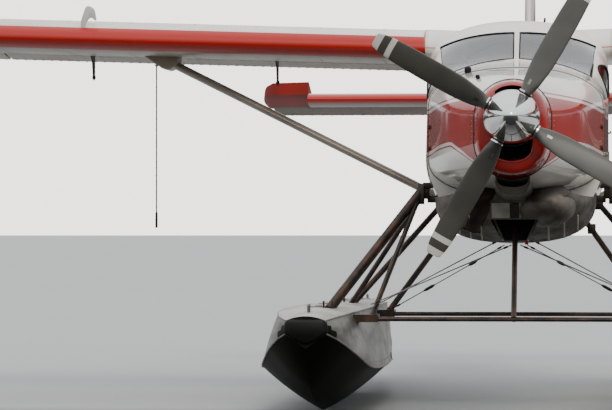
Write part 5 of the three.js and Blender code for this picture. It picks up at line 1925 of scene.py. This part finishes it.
class MakeStruts(bpy.types.Operator):
    """Builds the struts and spreader bars that carry the fuselage on the floats"""

    bl_idname = "floatplane.struts"
    bl_label = "Float struts"

    def execute(self, context):
        for word, side in SIDES.items():
            pair = [sided(self.bar(foot, FRONT_FITTING, *size), side) for foot, *size in FRONT_BARS]
            dress(f"front_strut_pair_{word}", pair, "strut", "strut_metal", f"front_struts_{word}")
            bars = (("rear_strut", REAR_BAR), ("inner_strut", INNER_BAR), ("diagonal_strut", DIAGONAL_BAR))
            for name, ends_and_size in bars:
                bar = sided(self.bar(*ends_and_size), side)
                dress(f"{name}_skin_{word}", bar, "strut", "strut_metal", f"{name}_{word}")
            self.fittings(word, side)
        reach = FLOAT_X - 0.30
        for name, (station, height) in SPREADERS.items():
            parts = [self.bar((-reach, station, height), (reach, station, height), 0.042, 0.10)]
            ends = slab((1.19, station - 0.07, height - 0.026), (1.45, station + 0.2, height + 0.04))
            parts += [sided(ends, side) for side in (1, -1)]
            if name == "spreader_front":
                parts.append(self.bar(*CENTRE_POST))
            dress(f"{name}_bar", parts, "strut", "strut_metal", name)
        return {"FINISHED"}

    def bar(self, foot, head, thickness, chord):
        """One streamlined bar between two places."""
        return streamlined(at_place(foot), at_place(head), thickness, chord, 24)

    def fittings(self, word, side):
        """Machined fittings where the struts meet the fuselage and the decks, with their bolts."""
        parts = [slab(*corners) for corners in FITTINGS]
        for foot in map(at_place, DECK_FEET):
            parts.append(around(foot, (-0.06, -0.11, -0.02), (0.06, 0.11, 0.025)))
            parts.append(around(foot, (-0.045, -0.05, 0), (-0.033, 0.05, 0.09)))
            parts.append(around(foot, (0.033, -0.05, 0), (0.045, 0.05, 0.09)))
        parts += [around(at_place(head), (-0.04, -0.06, -0.05), (0.04, 0.06, 0.05)) for head in REAR_HEADS]
        plates = [sided(part, side) for part in parts]
        dress(f"strut_fittings_{word}", plates, "dark_steel", "strut_metal", bevel=(0.006,))
        nut = [(0, 0), (0.011, 0), (0.011, 0.008), (0, 0.009)]
        bolts = [sided(turned(nut, at_place(spot), (1, 0, 0), 6), side) for spot in BOLTS]
        dress(f"strut_bolts_{word}", bolts, "steel", "strut_metal", angle=None)


# Inside the cabin


SEAT_ROWS = {"pilot_seats": 2.9, "cabin_seats_front": 4.0, "cabin_seats_rear": 5.0}
SEAT_X = 0.37


def cushion(low, high, crown=0.018, pinch=0.010, steps=10, power=5.0):
    """A stuffed box: crowned faces, rounded edges, and sides that pull in between the corners."""
    low, high = Vector(low), Vector(high)
    centre, half = (low + high) / 2, (high - low) / 2
    points, faces = [], []
    for axis in range(3):
        for sign in (-1, 1):
            start = len(points)
            u_axis, v_axis = [a for a in range(3) if a != axis]
            for i in range(steps + 1):
                for j in range(steps + 1):
                    p = [0.0, 0.0, 0.0]
                    p[axis] = sign
                    p[u_axis] = math.sin(math.pi / 2 * (2 * i / steps - 1))
                    p[v_axis] = math.sin(math.pi / 2 * (2 * j / steps - 1))
                    length = sum(abs(c) ** power for c in p) ** (1 / power)
                    q = [c / length for c in p]
                    spot = Vector([centre[k] + q[k] * (half[k] - crown) for k in range(3)])
                    round_off = (1 - q[u_axis] ** 2) * (1 - q[v_axis] ** 2)
                    dent = pinch * (1 - round_off) * (1 - abs(q[u_axis] * q[v_axis]))
                    spot[axis] += sign * (crown * round_off - dent)
                    points.append(spot)
            for i in range(steps):
                for j in range(steps):
                    a = start + i * (steps + 1) + j
                    quad = (a, a + 1, a + steps + 2, a + steps + 1)
                    faces.append(quad if sign > 0 else quad[::-1])
    return points, faces


SEAT_PADS = [  # half the width, then from and to along the seat and in height
    (0.23, (0, 0.46), (2.38, 2.475)), (0.22, (0.40, 0.48), (2.45, 2.84)),
    (0.14, (0.41, 0.475), (2.86, 3.06)),
]
DIALS = (-0.48, -0.36, -0.24, -0.08, 0.08, 0.24, 0.36, 0.48)
DIAL_RIM = [(0.036, 0), (0.05, 0), (0.05, 0.008), (0.042, 0.012), (0.036, 0.012)]
GLARE_SHIELD = [
    (-0.62, 2.86), (-0.58, 2.925), (-0.4, 2.955), (0.0, 2.965), (0.4, 2.955), (0.58, 2.925), (0.62, 2.86),
]
WHEEL_STATION = 2.735


class MakeInterior(bpy.types.Operator):
    """Furnishes the cabin: padded seats, instrument panel with glare shield, and control columns"""

    bl_idname = "floatplane.interior"
    bl_label = "Inside"

    def execute(self, context):
        for name, station in SEAT_ROWS.items():
            self.seats(name, place(station))
        low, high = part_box("instrument_panel")
        board = block(low, high)
        dress("instrument_board", board, "plastic", "panel_trim", "instrument_panel", bevel=(0.012, 3))
        spots = [(x, high.y, z) for z in (2.80, 2.67) for x in DIALS]
        dress("dial_rims", [turned(DIAL_RIM, s, ALONG, 24) for s in spots], "plastic", "panel_trim")
        faces = [rod(0.037, 0, 0.004, s, ALONG, 24) for s in spots]
        dress("dial_faces", faces, "white_trim", "panel_trim")
        upper = curve_through(GLARE_SHIELD, 24)
        line = upper + [(x * 0.985, z - 0.012) for x, z in reversed(upper)]
        hood = [[(x, place(s), z - 0.02 * (s < 2.3)) for x, z in line] for s in (2.24, 2.34, 2.44, 2.52)]
        dress("glare_shield", loft(hood), "plastic", "panel_trim")
        columns = []
        for x in (-SEAT_X, SEAT_X):
            stem = [(x, 2.62, CABIN_FLOOR + 0.002), (x, 2.66, 2.55), (x, 2.72, 2.70)]
            rim = [(u, WHEEL_STATION, z) for u, z in arc((x, 2.72), 0.13, 0.10, -200, 220, 16)]
            spoke = [(x - 0.12, WHEEL_STATION, 2.71), (x + 0.12, WHEEL_STATION, 2.71)]
            for path, radius, sides in ((stem, 0.018, 12), (rim, 0.014, 10), (spoke, 0.012, 10)):
                columns.append(tube([at_place(p) for p in path], radius, sides))
        dress("control_columns", columns, "plastic", "panel_trim", angle=60)
        return {"FINISHED"}

    def seats(self, name, y):
        """Two seats side by side: their cushions, and the tubes that carry them."""
        pads, frames = [], []
        for x in (-SEAT_X, SEAT_X):
            for half, (front, back), (low, high) in SEAT_PADS:
                pads.append(cushion((x - half, y + front, low), (x + half, y + back, high)))
            for dx in (-0.19, 0.19):
                floor = CABIN_FLOOR + 0.003
                leg = [(0.04, floor), (0.06, 2.36), (0.42, 2.36), (0.46, floor)]
                frames.append(tube([(x + dx, y + dy, z) for dy, z in leg], 0.013, 10))
            for dx in (-0.07, 0.07):
                frames.append(tube([(x + dx, y + 0.44, z) for z in (2.80, 2.90)], 0.007, 8))
        pad = dress(f"{name}_cushions", pads, "cloth", "seat_fabric", name, angle=60)
        dress(f"{name}_frames", frames, "steel", "strut_metal", angle=60)


# Rigging


WIRES = [  # from the belly to a spreader's end, on each side: x, station, height
    ((0.151, 1.9, 1.556), (1.26, 1.0, 0.96)),
    ((0.041, 1.9, 1.51), (1.26, 1.0, 0.99)),
    ((0.105, 1.9, 1.51), (1.20, 3.4, 0.90)),
]
TURNBUCKLES = [(2, 0.24, 0.31), (2, 0.62, 0.72)]  # wire, from and to as shares of its length
BARREL = [0.007, 0.013, 0.016, 0.016, 0.016, 0.013, 0.007]


class MakeRigging(bpy.types.Operator):
    """Stretches the brace wires between the belly and the spreader bars, with their turnbuckles"""

    bl_idname = "floatplane.rigging"
    bl_label = "Rigging"

    def execute(self, context):
        radius = context.scene.floatplane_sizes.wire_diameter / 2
        wires, barrels = [], []
        for side in (1, -1):
            for a, b in ((at_place(start), at_place(end)) for start, end in WIRES):
                wires.append(sided(tube([a, b], radius, 8), side))
                for at, step in ((0.03, 0.025), (0.97, -0.025)):
                    barrels.append(sided(tube([a.lerp(b, at), a.lerp(b, at + step)], 0.010, 10), side))
            for index, low, high in TURNBUCKLES:
                a, b = (at_place(p) for p in WIRES[index])
                path = [a.lerp(b, low + (high - low) * k / 6) for k in range(7)]
                barrels.append(sided(tube(path, BARREL, 10), side))
        dress("brace_wires", wires, "steel", "strut_metal", angle=60)
        dress("turnbuckles", barrels, "dark_steel", "strut_metal", angle=50)
        return {"FINISHED"}


# Rivets


RIVET_ROWS = (2.35, 2.68, 3.20)  # heights of the rows along the cabin and the tail cone
RIVET_HOOPS = (2.4, 3.82, 4.95, 5.33, 6.72, 6.78, 7.6, 8.5, 9.4, 10.3)  # stations of the rows up it


def rivet_tree(material):
    """Geometry Nodes that set low domed heads along each line, facing the way it says."""
    tree = bpy.data.node_groups.new("rivet_rows", "GeometryNodeTree")
    face = tree.interface
    face.new_socket("Geometry", in_out="INPUT", socket_type="NodeSocketGeometry")
    face.new_socket("Pitch", in_out="INPUT", socket_type="NodeSocketFloat")
    face.new_socket("Diameter", in_out="INPUT", socket_type="NodeSocketFloat")
    face.new_socket("Geometry", in_out="OUTPUT", socket_type="NodeSocketGeometry")
    given = add(tree, "NodeGroupInput")
    lines = add(tree, "GeometryNodeMeshToCurve", {"Mesh": given.outputs["Geometry"]})
    lengths = {"Curve": lines, "Length": given.outputs["Pitch"]}
    spots = add(tree, "GeometryNodeResampleCurve", lengths, mode="LENGTH")
    size = {"Vertices": 6, "Radius Top": 0.28, "Radius Bottom": 0.5, "Depth": 0.22}
    head = add(tree, "GeometryNodeMeshCone", size, fill_type="NGON")
    facing = add(tree, "GeometryNodeInputNamedAttribute", {"Name": "facing"}, data_type="FLOAT_VECTOR")
    turn = add(tree, "FunctionNodeAlignRotationToVector", {"Vector": facing.outputs["Attribute"]}, axis="Z")
    heads = add(tree, "GeometryNodeInstanceOnPoints", {
        "Points": spots, "Instance": head, "Rotation": turn, "Scale": given.outputs["Diameter"],
    })
    real = add(tree, "GeometryNodeRealizeInstances", {"Geometry": heads})
    painted = add(tree, "GeometryNodeSetMaterial", {"Geometry": real, "Material": material})
    add(tree, "NodeGroupOutput", {"Geometry": painted})
    return tree


def in_doorway(side, station, z):
    """Whether a place on one side lies in a doorway, or at its edge."""
    return any(
        side_of(name) == side and along[0] - 0.03 < station < along[1] + 0.03 and height[0] < z < height[1]
        for name, (along, height, _, _) in DOORS.items()
    )


def body_lines(side):
    """Rows of (point, normal) on one side of the fuselage."""

    def line(places, tree=CABIN_SKIN):
        return [hit for hit in (on_side(side, s, z, tree) for s, z in places) if hit[0]]

    lines = []
    for z in RIVET_ROWS:
        for closed, run in groupby(np.linspace(1.80, 11.0, 90), key=lambda s, z=z: in_doorway(side, s, z)):
            if not closed:
                lines.append(line([(s, z) for s in run]))
    for s in RIVET_HOOPS:
        for low, high in ((1.75, 2.10), (3.22, 3.4)) if s < 6.6 else ((1.9, 3.35),):
            lines.append(line([(s, z) for z in np.linspace(low, high, 24)]))
    for s in (0.50, 1.70):
        lines.append(line([(s, z) for z in np.linspace(2.1, 2.95, 30)], NOSE_SKIN))
    return lines


def wing_lines(side):
    """Rows of (point, normal) below and above one wing, along its spars and its ribs."""
    outline, chord = foil_points(WING, 0, 1, 26), WING["chord"]
    middle = len(outline) // 2
    surfaces = ((outline[:middle], -1), (outline[middle + 1:], 1))

    def on_wing(x, point, sign):
        _, y, z = wing_ring([point], x)[0]
        return Vector((side * x, y, z)), Vector((0, 0, sign))

    lines = []
    for share in (0.07, 0.25, 0.45, 0.62, 0.72):
        for surface, sign in surfaces:
            point = min(surface, key=lambda p, y=share * chord: abs(p[0] - y))
            lines.append([on_wing(x, point, sign) for x in (0.92, 8.40)])
    for x in np.arange(1.3, 8.4, 0.62):
        for surface, sign in surfaces:
            lines.append([on_wing(x, p, sign) for p in surface if 0.12 * chord < p[0] < 0.70 * chord])
    return lines


def float_lines(side):
    """Rows of (point, normal) along the flanks of one float, just above its chines."""
    lines = []
    for sections in (FORE_SECTIONS, AFT_SECTIONS):
        for edge in (1, -1):
            line = []
            for along in np.linspace(sections[0][0] + 0.15, sections[-1][0], 30):
                row = section_at(sections, FLOAT_COLUMNS, along)
                out = row["chine_half"] - (row["chine_half"] - row["gunwale_half"]) * 0.1 + 0.004
                z = row["chine"] + 0.1 * (row["gunwale"] - row["chine"])
                spot = Vector((side * FLOAT_X + edge * out, place(FLOAT_BOW + along), z))
                line.append((spot, Vector((edge, 0, 0.15))))
            lines.append(line)
    return lines


class MakeRivets(bpy.types.Operator):
    """Sets rows of rivets along the seams of the fuselage, wings and floats"""

    bl_idname = "floatplane.rivets"
    bl_label = "Rivets"

    def execute(self, context):
        sizes = context.scene.floatplane_sizes
        lines = [line for side in (1, -1) for line in body_lines(side)]
        lines += [line for side in (1, -1) for line in wing_lines(side) + float_lines(side)]
        points, normals, edges = [], [], []
        for line in (line for line in lines if len(line) > 1):
            edges += [(len(points) + k, len(points) + k + 1) for k in range(len(line) - 1)]
            points += [p for p, _ in line]
            normals += [n for _, n in line]
        mesh = bpy.data.meshes.new("rivet_lines")
        mesh.from_pydata([tuple(p) for p in points], edges, [])
        facing = mesh.attributes.new("facing", "FLOAT_VECTOR", "POINT")
        facing.data.foreach_set("vector", [c for n in normals for c in n])
        piece = bpy.data.objects.new(f"{BODY}_rivets", mesh)
        context.scene.collection.objects.link(piece)
        rows = piece.modifiers.new("rows", "NODES")
        rows.node_group = tree = rivet_tree(FINISHES["rivet"])
        names = {item.name: item.identifier for item in tree.interface.items_tree if item.in_out == "INPUT"}
        rows[names["Pitch"]] = sizes.rivet_pitch
        rows[names["Diameter"]] = sizes.rivet_diameter
        finish_piece(applied(piece), "airframe_skin", angle=None)
        return {"FINISHED"}


# Small trim


AERIAL_FOOT = [(0, -0.01), (0.035, -0.01), (0.035, 0.004), (0.016, 0.02), (0, 0.02)]
BLISTER = [(0, -0.02), (0.09, -0.02), (0.085, 0.02), (0.06, 0.045), (0, 0.055)]
VANE_X = -4.19
VANE_OUTLINE = [  # across from its foot, and above the wing
    (-0.04, 0.02), (-0.045, 0.17), (0.01, 0.33), (0.09, 0.30), (0.115, 0.16), (0.05, 0.22), (0.0, 0.14),
    (-0.005, 0.02),
]
WICK_SPANS = (5.6, 6.5, 7.4, 8.1)


class MakeTrim(bpy.types.Operator):
    """Adds the aerials, the wing vane and the static wicks"""

    bl_idname = "floatplane.trim"
    bl_label = "Small trim"

    def execute(self, context):
        top = cast(CABIN_SKIN, (0.23, place(4.0), 5.0), -UP)[0]
        stalk = tube([(0.23, top.y, top.z - 0.01), (0.245, top.y + 0.02, 3.73)], [0.016, 0.010], 12)
        parts = [stalk, turned(AERIAL_FOOT, top, UP, 20)]
        dress("roof_aerial", parts, "rubber", "white_paint", angle=50)
        top = cast(CABIN_SKIN, (-0.2, place(4.4), 5.0), -UP)[0]
        dress("roof_blister", turned(BLISTER, top, UP, 28), "white_trim", "white_paint", angle=50)
        height = wing_height(abs(VANE_X))
        outline = round_corners([(VANE_X + x, height + z) for x, z in VANE_OUTLINE], 0.045)
        plate = along_extrusion(outline, (WING["front"] + 0.10, WING["front"] + 0.13))
        dress("wing_vane", plate, "vane", "white_paint", bevel=(0.02, 3))
        trailing = place(WING["front"]) + 0.97 * WING["chord"]
        for word, side in SIDES.items():
            starts = [Vector((side * x, trailing + 0.03, wing_height(x) - 0.14)) for x in WICK_SPANS]
            wicks = [tube([start, start + Vector((0, 0.13, -0.01))], 0.0035, 6) for start in starts]
            dress(f"aileron_{word}_wicks", wicks, "rubber", "panel_trim", body=f"aileron_{word}", angle=60)
        return {"FINISHED"}


OPERATORS = [
    MakeFinishes, MakeStage, MakeRope, MakeCabin, MakeDoors, MakeGlass, MakeNose, MakeUnderside,
    MakePropeller, MakeWings, MakeFlaps, MakeTail, MakeFloats, MakeStruts, MakeInterior, MakeRigging,
    MakeRivets, MakeTrim,
]


class FloatplanePanel(bpy.types.Panel):
    """Lists the sizes, the colours and the steps that build the floatplane"""

    bl_idname = "VIEW3D_PT_floatplane"
    bl_label = "Floatplane"
    bl_space_type = "VIEW_3D"
    bl_region_type = "UI"
    bl_category = "Floatplane"

    def draw(self, context):
        column = self.layout.column()
        for group in (context.scene.floatplane_paint, context.scene.floatplane_sizes):
            for name in group.bl_rna.properties.keys():
                if name not in ("rna_type", "name"):
                    column.prop(group, name)
        for operator in OPERATORS:
            column.operator(operator.bl_idname)


CLASSES = [FloatplanePaint, FloatplaneSizes, *OPERATORS, FloatplanePanel]


def register():
    for item in CLASSES:
        bpy.utils.register_class(item)
    bpy.types.Scene.floatplane_paint = PointerProperty(type=FloatplanePaint)
    bpy.types.Scene.floatplane_sizes = PointerProperty(type=FloatplaneSizes)


def unregister():
    del bpy.types.Scene.floatplane_sizes
    del bpy.types.Scene.floatplane_paint
    for item in reversed(CLASSES):
        bpy.utils.unregister_class(item)


def main():
    register()
    for operator in OPERATORS:
        group, name = operator.bl_idname.split(".")
        getattr(getattr(bpy.ops, group), name)()
    bpy.context.view_layer.update()


if __name__ == "__main__":
    main()
